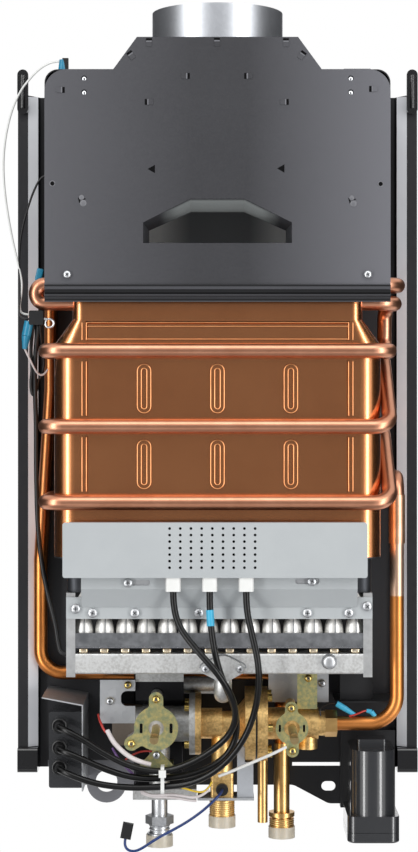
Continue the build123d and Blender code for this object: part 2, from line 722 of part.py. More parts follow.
def combustion_shell():
    """Copper chamber with a pressed frame and pressed upright beads on its front."""
    shell = shell_form(0) - shell_form(SHELL_WALL)
    shell -= [rod((-SHELL_HALF, y, z), (SHELL_HALF, y, z), COIL_OD / 2) for y, z in fin_tubes()]
    frame_height = EMBOSS_FRAME_TOP - EMBOSS_FRAME_BOTTOM
    frame_middle = (EMBOSS_FRAME_TOP + EMBOSS_FRAME_BOTTOM) / 2
    ring = Rectangle(2 * EMBOSS_FRAME_HALF, frame_height)
    ring -= Rectangle(2 * (EMBOSS_FRAME_HALF - EMBOSS_RIB), frame_height - 2 * EMBOSS_RIB)
    relief = Pos(0, frame_middle) * ring
    for index in range(COIL_PASSES):
        level = COIL_FIRST - index * COIL_PITCH
        relief -= Pos(0, level) * Rectangle(3 * EMBOSS_FRAME_HALF, COIL_OD + 2 * EMBOSS_RIB)
    bead = SlotOverall(EMBOSS_SLOT_LENGTH, EMBOSS_SLOT_WIDTH, rotation=90)
    bead -= SlotOverall(EMBOSS_SLOT_LENGTH - 4 * EMBOSS_RIB, EMBOSS_SLOT_WIDTH - 4 * EMBOSS_RIB, rotation=90)
    for gap in range(COIL_PASSES - 1):
        level = COIL_FIRST - (gap + 0.5) * COIL_PITCH
        for column in (-1, 0, 1):
            relief += Pos(column * EMBOSS_SLOT_PITCH, level) * bead
    pressed = upright(relief, SHELL_FRONT, EMBOSS)
    crest = SHELL_FRONT - EMBOSS
    rims = pressed.edges().filter_by_position(Axis.Y, crest - EMBOSS_EDGE, crest)
    return shell + chamfer(rims, EMBOSS_EDGE)


def burner_frame():
    """Steel frame between the copper shell and the burner: a flange under the shell and a drawn-in skirt."""
    depth = SHELL_BACK - SHELL_FRONT
    middle = (SHELL_BACK + SHELL_FRONT) / 2
    outline = Pos(BURNER_X, middle) * RectangleRounded(2 * BURNER_HALF, depth, NECK_CORNER)
    well = offset(outline, -SHELL_WALL)
    ledge = shell_ring(SHELL_HALF, SHELL_CORNER, SHELL_BOTTOM, 0)
    walls = extrude(outline, SHELL_BOTTOM - BURNER_TOP - SHELL_WALL)
    skirt = extrude(ledge, -SHELL_WALL) + Pos(0, 0, BURNER_TOP) * walls
    skirt -= Pos(0, 0, BURNER_TOP - SHEET) * extrude(well, SHELL_BOTTOM - BURNER_TOP + 3 * SHEET)
    boots = boot_positions()
    notch = (boots[0] - BOOT_WIDTH, boots[-1] + BOOT_WIDTH)
    return skirt - block(notch, (SHELL_FRONT - SHEET, SHELL_FRONT + 2 * SHEET),
                         (BURNER_TOP - SHEET, SKIRT_NOTCH_TOP))


def chamber_brackets():
    """Four sheet channels that stand the hood and the shell off the pan."""
    channels = []
    upper = (SPACER_HOOD_X, SPACER_HOOD_TOP, HOOD_BACK)
    lower = (SPACER_SHELL_X, SPACER_SHELL_TOP, SHELL_BACK)
    for x, top, front in (upper, lower):
        half = SPACER_WIDTH / 2
        span = (top - SPACER_HEIGHT, top)
        channel = block((x - half, x + half), (front, -SHEET), span)
        channel -= block((x - half + SHEET, x + half - SHEET), (front + SHEET, 0),
                         (span[0] - SHEET, span[1] + SHEET))
        channels += mirrored(channel)
    return channels


def fin_tubes():
    """Return Y and Z of the three water tubes that run through the fins."""
    return [(FIN_TUBE_FRONT_Y, FIN_TUBE_LOWER_Z), (FIN_TUBE_FRONT_Y, FIN_TUBE_UPPER_Z),
            (FIN_TUBE_BACK_Y, FIN_TUBE_UPPER_Z)]


def fin_core():
    """Fin block in the shell's neck: upright fins on three water tubes."""
    middle = (FIN_TUBE_UPPER_Z + FIN_TUBE_LOWER_Z) / 2
    half = NECK_HALF - SHELL_WALL
    depth = (SHELL_FRONT + SHELL_WALL, SHELL_BACK - SHELL_WALL)
    height = (middle - FIN_HEIGHT / 2, middle + FIN_HEIGHT / 2)
    places = [(index - (FIN_COUNT - 1) / 2) * FIN_PITCH for index in range(FIN_COUNT)]
    fins = [block((x - FIN_THICK / 2, x + FIN_THICK / 2), depth, height)
            for x in places if abs(x) < half - NECK_CORNER]
    tubes = [rod((-NECK_HALF, y, z), (NECK_HALF, y, z), COIL_OD / 2) for y, z in fin_tubes()]
    bores = [rod((-SHELL_HALF, y, z), (SHELL_HALF, y, z), COIL_OD / 2 - TUBE_WALL) for y, z in fin_tubes()]
    return tubes[0] + (tubes[1:] + fins) - bores


def return_bends():
    """Two hairpin bends that join the fin block's tubes outside the shell."""
    left_bend = (FIN_TUBE_UPPER_Z - FIN_TUBE_LOWER_Z) * HAIRPIN
    left_reach = -NECK_HALF - RETURN_LEFT_STUB - left_bend
    left = tube([
        (-NECK_HALF, FIN_TUBE_FRONT_Y, FIN_TUBE_UPPER_Z), (left_reach, FIN_TUBE_FRONT_Y, FIN_TUBE_UPPER_Z),
        (left_reach, FIN_TUBE_FRONT_Y, FIN_TUBE_LOWER_Z), (-NECK_HALF, FIN_TUBE_FRONT_Y, FIN_TUBE_LOWER_Z),
    ], COIL_OD, left_bend, TUBE_WALL)
    right_bend = (FIN_TUBE_BACK_Y - FIN_TUBE_FRONT_Y) * HAIRPIN
    right_reach = NECK_HALF + RETURN_RIGHT_STUB + right_bend
    right = tube([
        (NECK_HALF, FIN_TUBE_FRONT_Y, FIN_TUBE_UPPER_Z), (right_reach, FIN_TUBE_FRONT_Y, FIN_TUBE_UPPER_Z),
        (right_reach, FIN_TUBE_BACK_Y, FIN_TUBE_UPPER_Z), (NECK_HALF, FIN_TUBE_BACK_Y, FIN_TUBE_UPPER_Z),
    ], COIL_OD, right_bend, TUBE_WALL)
    return [left, right]


def coil_pipe():
    """Copper tube wound round the chamber, from the fin block down to the riser's sleeve."""
    side = SHELL_HALF + COIL_SEAT + COIL_OD / 2
    front = SHELL_FRONT - COIL_SEAT - COIL_OD / 2
    back = SHELL_BACK + COIL_SEAT + COIL_OD / 2
    points = [
        (NECK_HALF, FIN_TUBE_FRONT_Y, FIN_TUBE_LOWER_Z), (COIL_OUTLET_X, FIN_TUBE_FRONT_Y, FIN_TUBE_LOWER_Z),
        (side + COIL_SEAT, COIL_RISE_Y, FIN_TUBE_LOWER_Z), (side, COIL_RISE_Y, COIL_FIRST),
    ]
    for index in range(COIL_PASSES):
        level = COIL_FIRST - index * COIL_PITCH
        points += [(side, front, level), (-side, front, level), (-side, back, level)]
        if index < COIL_PASSES - 1:
            points.append((side, back, level))
    outlet = level + COIL_OUTLET_RISE
    points += [(RISER_X, back, outlet), (RISER_X, VALVE_Y, outlet), (RISER_X, VALVE_Y, RISER_TOP)]
    return tube(points, COIL_OD, COIL_BEND, TUBE_WALL)


def riser_pipe():
    """Cold feed from the water valve's union up to the coil."""
    return tube([
        (RISER_X, VALVE_Y, RISER_TOP), (RISER_X, VALVE_Y, SPINDLE_Z),
        (NUT_LEFT + NUT_LENGTH / 2, VALVE_Y, SPINDLE_Z),
    ], PIPE_OD, RISER_BEND, TUBE_WALL)


def riser_sleeve():
    """Brazed sleeve that joins the coil to the riser."""
    sleeve = rod((RISER_X, VALVE_Y, SLEEVE_BOTTOM), (RISER_X, VALVE_Y, SLEEVE_TOP), SLEEVE_RADIUS)
    return sleeve - rod((RISER_X, VALVE_Y, SLEEVE_BOTTOM - SHEET), (RISER_X, VALVE_Y, SLEEVE_TOP + SHEET),
                        COIL_OD / 2)


def hot_pipe():
    """Hot water pipe from the fin block down the left side and across to the outlet."""
    return tube([
        (-NECK_HALF, FIN_TUBE_BACK_Y, FIN_TUBE_UPPER_Z), (HOT_PIPE_TOP_X, FIN_TUBE_BACK_Y, FIN_TUBE_UPPER_Z),
        (HOT_PIPE_TOP_X, HOT_PIPE_Y, FIN_TUBE_UPPER_Z), (HOT_PIPE_TOP_X, HOT_PIPE_Y, HOT_LEAN_TOP),
        (HOT_PIPE_X, HOT_PIPE_Y, HOT_LEAN_BOTTOM), (HOT_PIPE_X, HOT_PIPE_Y, HOT_RUN_Z),
        (HOT_X, HOT_PIPE_Y, HOT_RUN_Z), (HOT_X, HOT_Y, (HOT_RUN_Z + HOT_TUBE_TOP) / 2),
        (HOT_X, HOT_Y, HOT_TUBE_TOP),
    ], PIPE_OD, [COIL_BEND, COIL_BEND] + 3 * [HOT_BEND] + 2 * [COIL_BEND], TUBE_WALL)


def burner_side_plates():
    """Two upright side sheets of the burner, each with a front flange."""
    plates = []
    for side in (-1, 1):
        outer = BURNER_X + side * BURNER_HALF
        inner = outer - side * BURNER_SHEET
        edge = outer - side * SIDE_PLATE
        section = polygon(
            (outer, BURNER_BACK), (outer, BURNER_FRONT), (edge, BURNER_FRONT),
            (edge, BURNER_FRONT + BURNER_SHEET), (inner, BURNER_FRONT + BURNER_SHEET), (inner, BURNER_BACK),
        )
        plates.append(Pos(0, 0, SIDE_PLATE_BOTTOM) * extrude(section, BURNER_TOP - SIDE_PLATE_BOTTOM))
    return plates


def burner_cross_plate(front, inset):
    """Return one upright sheet across the burner, from its front face back by the sheet."""
    half = BURNER_HALF - inset
    return block((BURNER_X - half, BURNER_X + half), (front, front + BURNER_SHEET),
                 (BURNER_PLATE_BOTTOM, BURNER_PLATE_TOP))


def burner_air_bar():
    """Folded grey bar across the venturi mouths."""
    half = BURNER_HALF - SIDE_PLATE
    front = BURNER_FRONT + BURNER_SHEET / 2
    bar = block((BURNER_X - half, BURNER_X + half), (front, front + BURNER_SHEET),
                (LOWER_BAR_BOTTOM, LOWER_BAR_TOP))
    lip = block((BURNER_X - half, BURNER_X + half), (front, front + 3 * BURNER_SHEET),
                (LOWER_BAR_BOTTOM, LOWER_BAR_BOTTOM + BURNER_SHEET))
    return bar + lip


def burner_positions():
    """Return the X of each burner bar."""
    return [BURNER_X + (index - (BURNER_COUNT - 1) / 2) * BURNER_PITCH for index in range(BURNER_COUNT)]


def burner_bars():
    """Row of flat burner bars, each fed by a bell-mouthed venturi that opens downwards."""
    bars = []
    for x in burner_positions():
        flank = BURNER_BLADE / 2
        blade = polygon(
            (x - flank, BURNER_PLATE_BOTTOM), (x - flank, BURNER_PLATE_TOP), (x - flank / 2, BURNER_TOP),
            (x + flank / 2, BURNER_TOP), (x + flank, BURNER_PLATE_TOP), (x + flank, BURNER_PLATE_BOTTOM),
        )
        bar = upright(blade, BURNER_BACK - BURNER_SHEET, BURNER_BACK - BURNER_SHEET - BURNER_FRONT)
        mouth = (x, VENTURI_Y, VENTURI_BOTTOM)
        throat = (x, VENTURI_Y, BURNER_PLATE_BOTTOM)
        bar += cone(mouth, throat, VENTURI_MOUTH, VENTURI_THROAT)
        bar -= cone(mouth, throat, VENTURI_MOUTH - VENTURI_WALL, VENTURI_THROAT - VENTURI_WALL)
        bars.append(bar)
    return bars


def gas_manifold():
    """Cast gas rail with a front flange, a blanked tapping and a neck that bends to the gas valve."""
    half = BURNER_HALF - SIDE_PLATE
    middle = (MANIFOLD_TOP + MANIFOLD_BOTTOM) / 2
    back = BURNER_FRONT + MANIFOLD_DEPTH
    section = Plane.YZ.offset(BURNER_X - half) * Pos((BURNER_FRONT + back) / 2, middle) * RectangleRounded(
        MANIFOLD_DEPTH, MANIFOLD_TOP - MANIFOLD_BOTTOM, MANIFOLD_CORNER)
    rail = extrude(section, 2 * half)
    outline = Circle(MANIFOLD_FLANGE_RADIUS).edges()
    for side in (-1, 1):
        outline += (Pos(side * MANIFOLD_EAR, 0) * Circle(MANIFOLD_EAR_RADIUS)).edges()
    ears = make_hull(outline)
    flange = Pos(MANIFOLD_NECK_X, MANIFOLD_FLANGE_Z) * ears
    rail += upright(flange, BURNER_FRONT + SHEET, MANIFOLD_BOSS + SHEET)
    plug_tip = (PLUG_X, BURNER_FRONT - MANIFOLD_BOSS, PLUG_Z)
    rail += rod((PLUG_X, BURNER_FRONT + SHEET, PLUG_Z), plug_tip, PLUG_RADIUS)
    rail += tube([
        (MANIFOLD_NECK_X, VENTURI_Y, middle), (MANIFOLD_NECK_X, VENTURI_Y, MANIFOLD_NECK_Z),
        (MANIFOLD_NECK_X, MANIFOLD_NECK_Y, MANIFOLD_NECK_Z), (GAS_RIGHT, MANIFOLD_NECK_Y, MANIFOLD_NECK_Z),
    ], 2 * MANIFOLD_NECK_RADIUS, MANIFOLD_NECK_RADIUS + SHEET)
    return rail


def gas_nozzles():
    """One brass nozzle under each venturi mouth."""
    nozzles = []
    for x in burner_positions():
        foot = (x, VENTURI_Y, MANIFOLD_TOP)
        tip = (x, VENTURI_Y, MANIFOLD_TOP + NOZZLE_HEIGHT)
        nozzles.append(cone(foot, tip, NOZZLE_RADIUS, NOZZLE_RADIUS / 2))
    return nozzles


def boot_positions():
    """Return the X of each electrode boot."""
    return [BOOT_CENTRE_X + index * BOOT_PITCH for index in (-1, 0, 1)]


def electrode_cover():
    """Light sheet cover with a pattern of sighting holes and folded edges."""
    bottom = COVER_TOP - COVER_HEIGHT
    face = Pos(COVER_X, (COVER_TOP + bottom) / 2) * RectangleRounded(2 * COVER_HALF, COVER_HEIGHT, 2 * SHEET)
    holes = GridLocations(COVER_HOLE_PITCH_X, COVER_HOLE_PITCH_Z, COVER_HOLE_COLUMNS, COVER_HOLE_ROWS)
    hole_middle = COVER_HOLE_TOP - (COVER_HOLE_ROWS - 1) / 2 * COVER_HOLE_PITCH_Z
    face -= Pos(COVER_HOLE_X, hole_middle) * holes * Circle(COVER_HOLE_RADIUS)
    cover = upright(face, COVER_FRONT + SHEET, SHEET)
    width = (COVER_X - COVER_HALF + 2 * SHEET, COVER_X + COVER_HALF - 2 * SHEET)
    cover += block(width, (COVER_FRONT, COVER_FRONT + COVER_RETURN), (COVER_TOP - SHEET, COVER_TOP))
    cover += block(width, (COVER_FRONT, BRACKET_FRONT), (bottom, bottom + SHEET))
    boots = boot_positions()
    notch = (boots[0] - BOOT_WIDTH, boots[-1] + BOOT_WIDTH)
    return cover - block(notch, (COVER_FRONT + SHEET, BRACKET_FRONT + SHEET),
                         (bottom - SHEET, bottom + 2 * SHEET))


def electrode_bracket():
    """Folded bracket that carries the cover and the electrodes on the burner's front plate."""
    foot = BURNER_FRONT - BURNER_SHEET
    section = polygon(
        (BRACKET_FRONT, BRACKET_TOP), (BRACKET_FRONT, BRACKET_FOLD), (foot - SHEET, BRACKET_BOTTOM),
        (foot, BRACKET_BOTTOM), (foot, BRACKET_BOTTOM + SHEET), (BRACKET_FRONT + SHEET, BRACKET_FOLD),
        (BRACKET_FRONT + SHEET, BRACKET_TOP),
    )
    bracket = extrude(Plane.YZ.offset(BURNER_X - BRACKET_HALF) * section, 2 * BRACKET_HALF)
    for x, z in BRACKET_SLOTS:
        slot = Pos(x, z) * SlotOverall(BRACKET_SLOT_LENGTH, BRACKET_SLOT_WIDTH)
        bracket -= upright(slot, BRACKET_FRONT + 2 * SHEET, 4 * SHEET)
    return bracket


def electrode_boots():
    """Three white insulating boots under the cover."""
    low = COVER_TOP - COVER_HEIGHT - BOOT_HEIGHT
    boots = []
    for x in boot_positions():
        boot = block((x - BOOT_WIDTH / 2, x + BOOT_WIDTH / 2), (BRACKET_FRONT, BRACKET_FRONT - BOOT_DEPTH),
                     (low, low + BOOT_HEIGHT))
        boots.append(fillet(boot.edges().filter_by(Axis.Z), BOOT_WIDTH / 5))
    return boots


def electrodes():
    """Three bent spark and flame rods from the boots to the flames."""
    low = COVER_TOP - COVER_HEIGHT
    y = BRACKET_FRONT - BOOT_DEPTH / 2
    level = BRACKET_TOP + 3 * ELECTRODE_RADIUS
    rods = []
    for x in boot_positions():
        route = [(x, y, low), (x, y, level), (x, y + ELECTRODE_REACH, level)]
        rods.append(tube(route, 2 * ELECTRODE_RADIUS, 3 * ELECTRODE_RADIUS))
    return rods


def igniter_box():
    """Moulded igniter housing beside the gas valve, with three outlet towers on its face."""
    left = IGNITER_X - IGNITER_WIDTH / 2
    box = block((left, left + IGNITER_WIDTH), (IGNITER_FRONT, IGNITER_FRONT + IGNITER_DEPTH),
                (IGNITER_TOP - IGNITER_HEIGHT, IGNITER_TOP))
    box = fillet(box.edges().filter_by(Axis.Y), 2 * SHEET)
    for z in BUSHING_Z:
        mouth = (BUSHING_X, IGNITER_FRONT - BUSHING_LENGTH, z)
        box += rod((BUSHING_X, IGNITER_FRONT, z), mouth, BUSHING_RADIUS)
    return box


def igniter_shield():
    """Bent sheet roof and side wall over the igniter."""
    fold = IGNITER_X + IGNITER_WIDTH / 2
    section = polygon(
        (SHIELD_LEFT, SHIELD_LEFT_Z), (fold + SHEET, SHIELD_FOLD_Z), (fold + SHEET, SHIELD_BOTTOM),
        (fold, SHIELD_BOTTOM), (fold, SHIELD_FOLD_Z - SHEET), (SHIELD_LEFT, SHIELD_LEFT_Z - SHEET),
    )
    return upright(section, -SHEET, -SHIELD_FRONT - SHEET)


def lobed_plate(centre_x, disc, lobe, ears):
    """Return a pear-shaped knob plate: a disc with rounded ears, a spindle hole and two slits."""
    outline = Circle(disc)
    for x, z in ears:
        outline += make_hull(Circle(lobe).edges() + (Pos(x, z) * Circle(lobe)).edges())
    waists = [v for v in outline.vertices() if abs(v.center().length - disc) < END_GAP and abs(v.Y) > END_GAP]
    outline = fillet(waists, lobe / 2)
    outline -= Circle(SPINDLE_HOLE)
    for side in (-1, 1):
        outline -= Pos(side * (SPINDLE_HOLE + disc) / 2, 0) * SlotOverall(disc / 2.2, disc / 7, rotation=90)
    return upright(Pos(centre_x, SPINDLE_Z) * outline, KNOB_PLATE_BACK, KNOB_PLATE)


def knob_bosses(centre_x, radius, lobe, ears, back):
    """Return the cast pads that a knob plate is screwed to."""
    outline = Circle(radius)
    for x, z in ears:
        outline += make_hull(Circle(lobe).edges() + (Pos(x, z) * Circle(lobe - SHEET)).edges())
    return upright(Pos(centre_x, SPINDLE_Z) * outline, back, back - KNOB_PLATE_BACK)


def spindle_bore(centre_x):
    """Return the bore that a knob spindle turns in."""
    return rod((centre_x, SPINDLE_FOOT + END_GAP, SPINDLE_Z), (centre_x, KNOB_PLATE_BACK - SHEET, SPINDLE_Z),
               SPINDLE_RADIUS + SPINDLE_CLEARANCE)


def spindle(centre_x):
    """Return a knob spindle with a flat milled on its tip."""
    shaft = rod((centre_x, SPINDLE_FOOT, SPINDLE_Z), (centre_x, SPINDLE_TIP, SPINDLE_Z), SPINDLE_RADIUS)
    flat = block((centre_x - SPINDLE_RADIUS, centre_x + SPINDLE_RADIUS),
                 (SPINDLE_TIP, SPINDLE_TIP + 4 * SPINDLE_RADIUS),
                 (SPINDLE_Z + SPINDLE_RADIUS / 2, SPINDLE_Z + SPINDLE_RADIUS))
    return shaft - flat


def gas_column():
    """Return the upright passage from the gas inlet to the cross barrel."""
    return rod((GAS_INLET_X, INLET_Y, GAS_BOTTOM), (GAS_INLET_X, INLET_Y, SPINDLE_Z), GAS_COLUMN_RADIUS)


def gas_valve_body():
    """Cast gas valve: rear housing, outlet duct, cross barrel with a flange, lug, knob pads and foot."""
    housing = block((GAS_LEFT, GAS_RIGHT), (GAS_HOUSING_FRONT, GAS_BACK), (GAS_BOTTOM, GAS_TOP))
    body = fillet(housing.edges().filter_by(Axis.Z), GAS_EDGE)
    body += block((GAS_LEFT + GAS_EDGE, GAS_RIGHT), (GAS_DUCT_FRONT, GAS_BACK - GAS_EDGE),
                  (GAS_DUCT_BOTTOM, GAS_TOP - GAS_EDGE))
    body += block((GAS_LUG_LEFT, SPINDLE_GAS_X), (GAS_LUG_FRONT, GAS_HOUSING_FRONT + GAS_EDGE),
                  (GAS_LUG_BOTTOM, GAS_LUG_TOP))
    axis = (VALVE_Y, SPINDLE_Z)
    body += rod((GAS_BARREL_START, *axis), (GAS_BARREL_END, *axis), GAS_BARREL_RADIUS)
    body += rod((GAS_BARREL_END, *axis), (GAS_BARREL_END + GAS_FLANGE, *axis), GAS_FLANGE_RADIUS)
    body += knob_bosses(SPINDLE_GAS_X, GAS_PAD_RADIUS, GAS_LOBE_RADIUS, GAS_EARS, VALVE_Y)
    body += gas_column()
    body += block((GAS_LEFT, GAS_FOOT_RIGHT), (INLET_Y - GAS_BARREL_RADIUS, INLET_Y + GAS_BARREL_RADIUS),
                  (GAS_BOTTOM - GAS_FOOT, GAS_BOTTOM + SHEET))
    body -= spindle_bore(SPINDLE_GAS_X)
    return body - rod((GAS_BARREL_END - GAS_FLANGE, *axis), (GAS_BARREL_END + 2 * GAS_FLANGE, *axis),
                      PUSH_ROD_RADIUS + PUSH_ROD_CLEARANCE)


def gas_inlet_nipple():
    """Gas inlet: plain pipe, hexagon, neck and male thread."""
    def at(z):
        return (GAS_INLET_X, INLET_Y, z)
    hex_bottom = GAS_HEX_TOP - GAS_HEX_HEIGHT
    nipple = rod(at(GAS_HEX_TOP), at(GAS_BOTTOM - GAS_FOOT), GAS_INLET_OD / 2)
    nipple += hex_bar(at(hex_bottom), at(GAS_HEX_TOP), GAS_HEX_FLATS)
    nipple += rod(at(GAS_THREAD_TOP), at(hex_bottom), GAS_NECK_OD / 2)
    nipple += rod(at(GAS_THREAD_BOTTOM), at(GAS_THREAD_TOP), THREAD_OD / 2)
    return nipple - rod(at(GAS_THREAD_BOTTOM - SHEET), at(hex_bottom), THREAD_BORE / 2)


def dust_cap(x, y, thread_bottom):
    """Return a plastic cup over the end of a male thread."""
    floor = thread_bottom - CAP_CLEARANCE
    bottom = floor - CAP_FLOOR
    cup = rod((x, y, bottom), (x, y, bottom + CAP_HEIGHT), CAP_OD / 2)
    return cup - rod((x, y, floor), (x, y, bottom + 2 * CAP_HEIGHT), THREAD_OD / 2 + CAP_CLEARANCE)


def water_valve_body():
    """Brass water section: flange, stepped barrel, half of the diaphragm housing and the cold leg."""
    def at(x):
        return (x, VALVE_Y, SPINDLE_Z)
    flange_end = WATER_BARREL_START + GAS_FLANGE
    cup_left = DIAPHRAGM_X - DIAPHRAGM_HALF
    body = rod(at(WATER_BARREL_START), at(flange_end), GAS_FLANGE_RADIUS)
    body += rod(at(flange_end), at(COLD_X), WATER_BARREL_RADIUS)
    body += rod(at(COLD_X), at(cup_left), WATER_NECK_RADIUS)
    body += cone(at(cup_left - WATER_NECK_RADIUS), at(cup_left), WATER_NECK_RADIUS - SHEET,
                 DIAPHRAGM_RADIUS * 0.7)
    body += rod(at(cup_left), at(DIAPHRAGM_X - DIAPHRAGM_SHEET / 2), DIAPHRAGM_RADIUS)
    body += rod((COLD_X, VALVE_Y, SPINDLE_Z), (COLD_X, VALVE_Y, COLD_BLOCK_TOP), COLD_STEM_RADIUS)
    half = COLD_BLOCK / 2
    leg = block((COLD_X - half, COLD_X + half), (VALVE_Y - half, VALVE_Y + half),
                (COLD_SHOULDER, COLD_BLOCK_TOP))
    body += fillet(leg.edges().filter_by(Axis.Z), half / 4)
    chamber_left = push_rod_head() - PUSH_HEAD - PUSH_ROD_TRAVEL - END_GAP
    chamber = rod(at(chamber_left), at(DIAPHRAGM_X), DIAPHRAGM_RADIUS * 0.7)
    bore = rod(at(WATER_BARREL_START - SHEET), at(DIAPHRAGM_X), PUSH_ROD_RADIUS + PUSH_ROD_CLEARANCE)
    body += rod((COLD_X, VALVE_Y, COLD_THREAD_BOTTOM), (COLD_X, VALVE_Y, COLD_SHOULDER), THREAD_OD / 2)
    bore_mouth = (COLD_X, VALVE_Y, COLD_THREAD_BOTTOM - SHEET)
    body -= rod(bore_mouth, (COLD_X, VALVE_Y, COLD_SHOULDER), THREAD_BORE / 2)
    return body - chamber - bore


def push_rod_head():
    """Return the X of the push rod's head where it faces the diaphragm."""
    return DIAPHRAGM_X - DIAPHRAGM_SHEET / 2 - END_GAP


def diaphragm():
    """Rubber disc clamped between the two halves of the water valve."""
    return rod((DIAPHRAGM_X - DIAPHRAGM_SHEET / 2, VALVE_Y, SPINDLE_Z),
               (DIAPHRAGM_X + DIAPHRAGM_SHEET / 2, VALVE_Y, SPINDLE_Z), DIAPHRAGM_RADIUS - SHEET)


def push_rod():
    """Rod that carries the diaphragm's stroke through to the gas valve."""
    head = push_rod_head()
    shaft = rod((PUSH_ROD_LEFT, VALVE_Y, SPINDLE_Z), (head, VALVE_Y, SPINDLE_Z), PUSH_ROD_RADIUS)
    face = (head, VALVE_Y, SPINDLE_Z)
    return shaft + rod((head - PUSH_HEAD, VALVE_Y, SPINDLE_Z), face, DIAPHRAGM_RADIUS / 2)


def water_valve_cover():
    """Right half of the water valve: housing half, cross barrel, knob pads, drain boss and union neck."""
    def at(x):
        return (x, VALVE_Y, SPINDLE_Z)
    cup_right = DIAPHRAGM_X + DIAPHRAGM_HALF
    body = rod(at(DIAPHRAGM_X + DIAPHRAGM_SHEET / 2), at(cup_right), DIAPHRAGM_RADIUS)
    body += rod(at(cup_right), at(WATER_BODY_END), WATER_BODY_HALF)
    body += rod(at(WATER_BODY_END), at(NUT_LEFT), WATER_NECK_RADIUS)
    body += rod((DRAIN_X, VALVE_Y, SPINDLE_Z), (DRAIN_X, VALVE_Y, SPINDLE_Z - DRAIN_DROP), DRAIN_RADIUS)
    pad = WATER_DISC_RADIUS - KNOB_PAD_MARGIN
    body += knob_bosses(SPINDLE_WATER_X, pad, WATER_LOBE_RADIUS, WATER_EARS, VALVE_Y)
    return body - spindle_bore(SPINDLE_WATER_X)


def union_nut():
    """Hexagon union nut that clamps the riser to the water valve."""
    nut = hex_bar((NUT_LEFT, VALVE_Y, SPINDLE_Z), (NUT_LEFT + NUT_LENGTH, VALVE_Y, SPINDLE_Z), NUT_FLATS)
    far = (NUT_LEFT + 2 * NUT_LENGTH, VALVE_Y, SPINDLE_Z)
    return nut - rod((NUT_LEFT - SHEET, VALVE_Y, SPINDLE_Z), far, PIPE_OD / 2)


def hot_outlet_tube():
    """Hot water outlet: brass tube, flange and male thread."""
    def at(z):
        return (HOT_X, HOT_Y, z)
    flange_bottom = HOT_FLANGE_TOP - HOT_FLANGE
    outlet = rod(at(HOT_FLANGE_TOP), at(HOT_TUBE_TOP), HOT_TUBE_OD / 2)
    outlet += rod(at(flange_bottom), at(HOT_FLANGE_TOP), HOT_FLANGE_OD / 2)
    outlet += rod(at(HOT_THREAD_TOP), at(flange_bottom), GAS_NECK_OD / 2)
    outlet += rod(at(HOT_THREAD_BOTTOM), at(HOT_THREAD_TOP), THREAD_OD / 2)
    return outlet - rod(at(HOT_THREAD_BOTTOM - SHEET), at(flange_bottom), THREAD_BORE / 2)


def relief_tube():
    """Open brass drain tube under the diaphragm housing."""
    top = SPINDLE_Z - DIAPHRAGM_RADIUS
    outer = rod((RELIEF_X, VALVE_Y, RELIEF_BOTTOM), (RELIEF_X, VALVE_Y, top), RELIEF_OD / 2)
    bore_end = (RELIEF_X, VALVE_Y, top - RELIEF_OD)
    return outer - rod((RELIEF_X, VALVE_Y, RELIEF_BOTTOM - SHEET), bore_end, RELIEF_BORE / 2)


def inlet_grommet():
    """Round rubber plug in the cold leg where the sensor lead comes out."""
    face = VALVE_Y - COLD_BLOCK / 2
    return rod((COLD_X, face, GROMMET_Z), (COLD_X, face - GROMMET_LENGTH, GROMMET_Z), GROMMET_RADIUS)


def microswitch():
    """Water flow switch housing that hangs under the barrel of the water valve."""
    top = SPINDLE_Z - WATER_NECK_RADIUS
    cup_left = DIAPHRAGM_X - DIAPHRAGM_HALF
    depth = (VALVE_Y - SWITCH_DEPTH / 2, VALVE_Y + SWITCH_DEPTH / 2)
    stem = block((SWITCH_LEFT, cup_left - END_GAP), depth, (SWITCH_BOTTOM, top))
    stem -= cone((cup_left - WATER_NECK_RADIUS, VALVE_Y, SPINDLE_Z), (cup_left, VALVE_Y, SPINDLE_Z),
                 WATER_NECK_RADIUS, DIAPHRAGM_RADIUS * 0.7)
    shelf = SPINDLE_Z - DIAPHRAGM_RADIUS - END_GAP
    return stem + block((SWITCH_LEFT, SWITCH_RIGHT), depth, (SWITCH_BOTTOM, shelf))


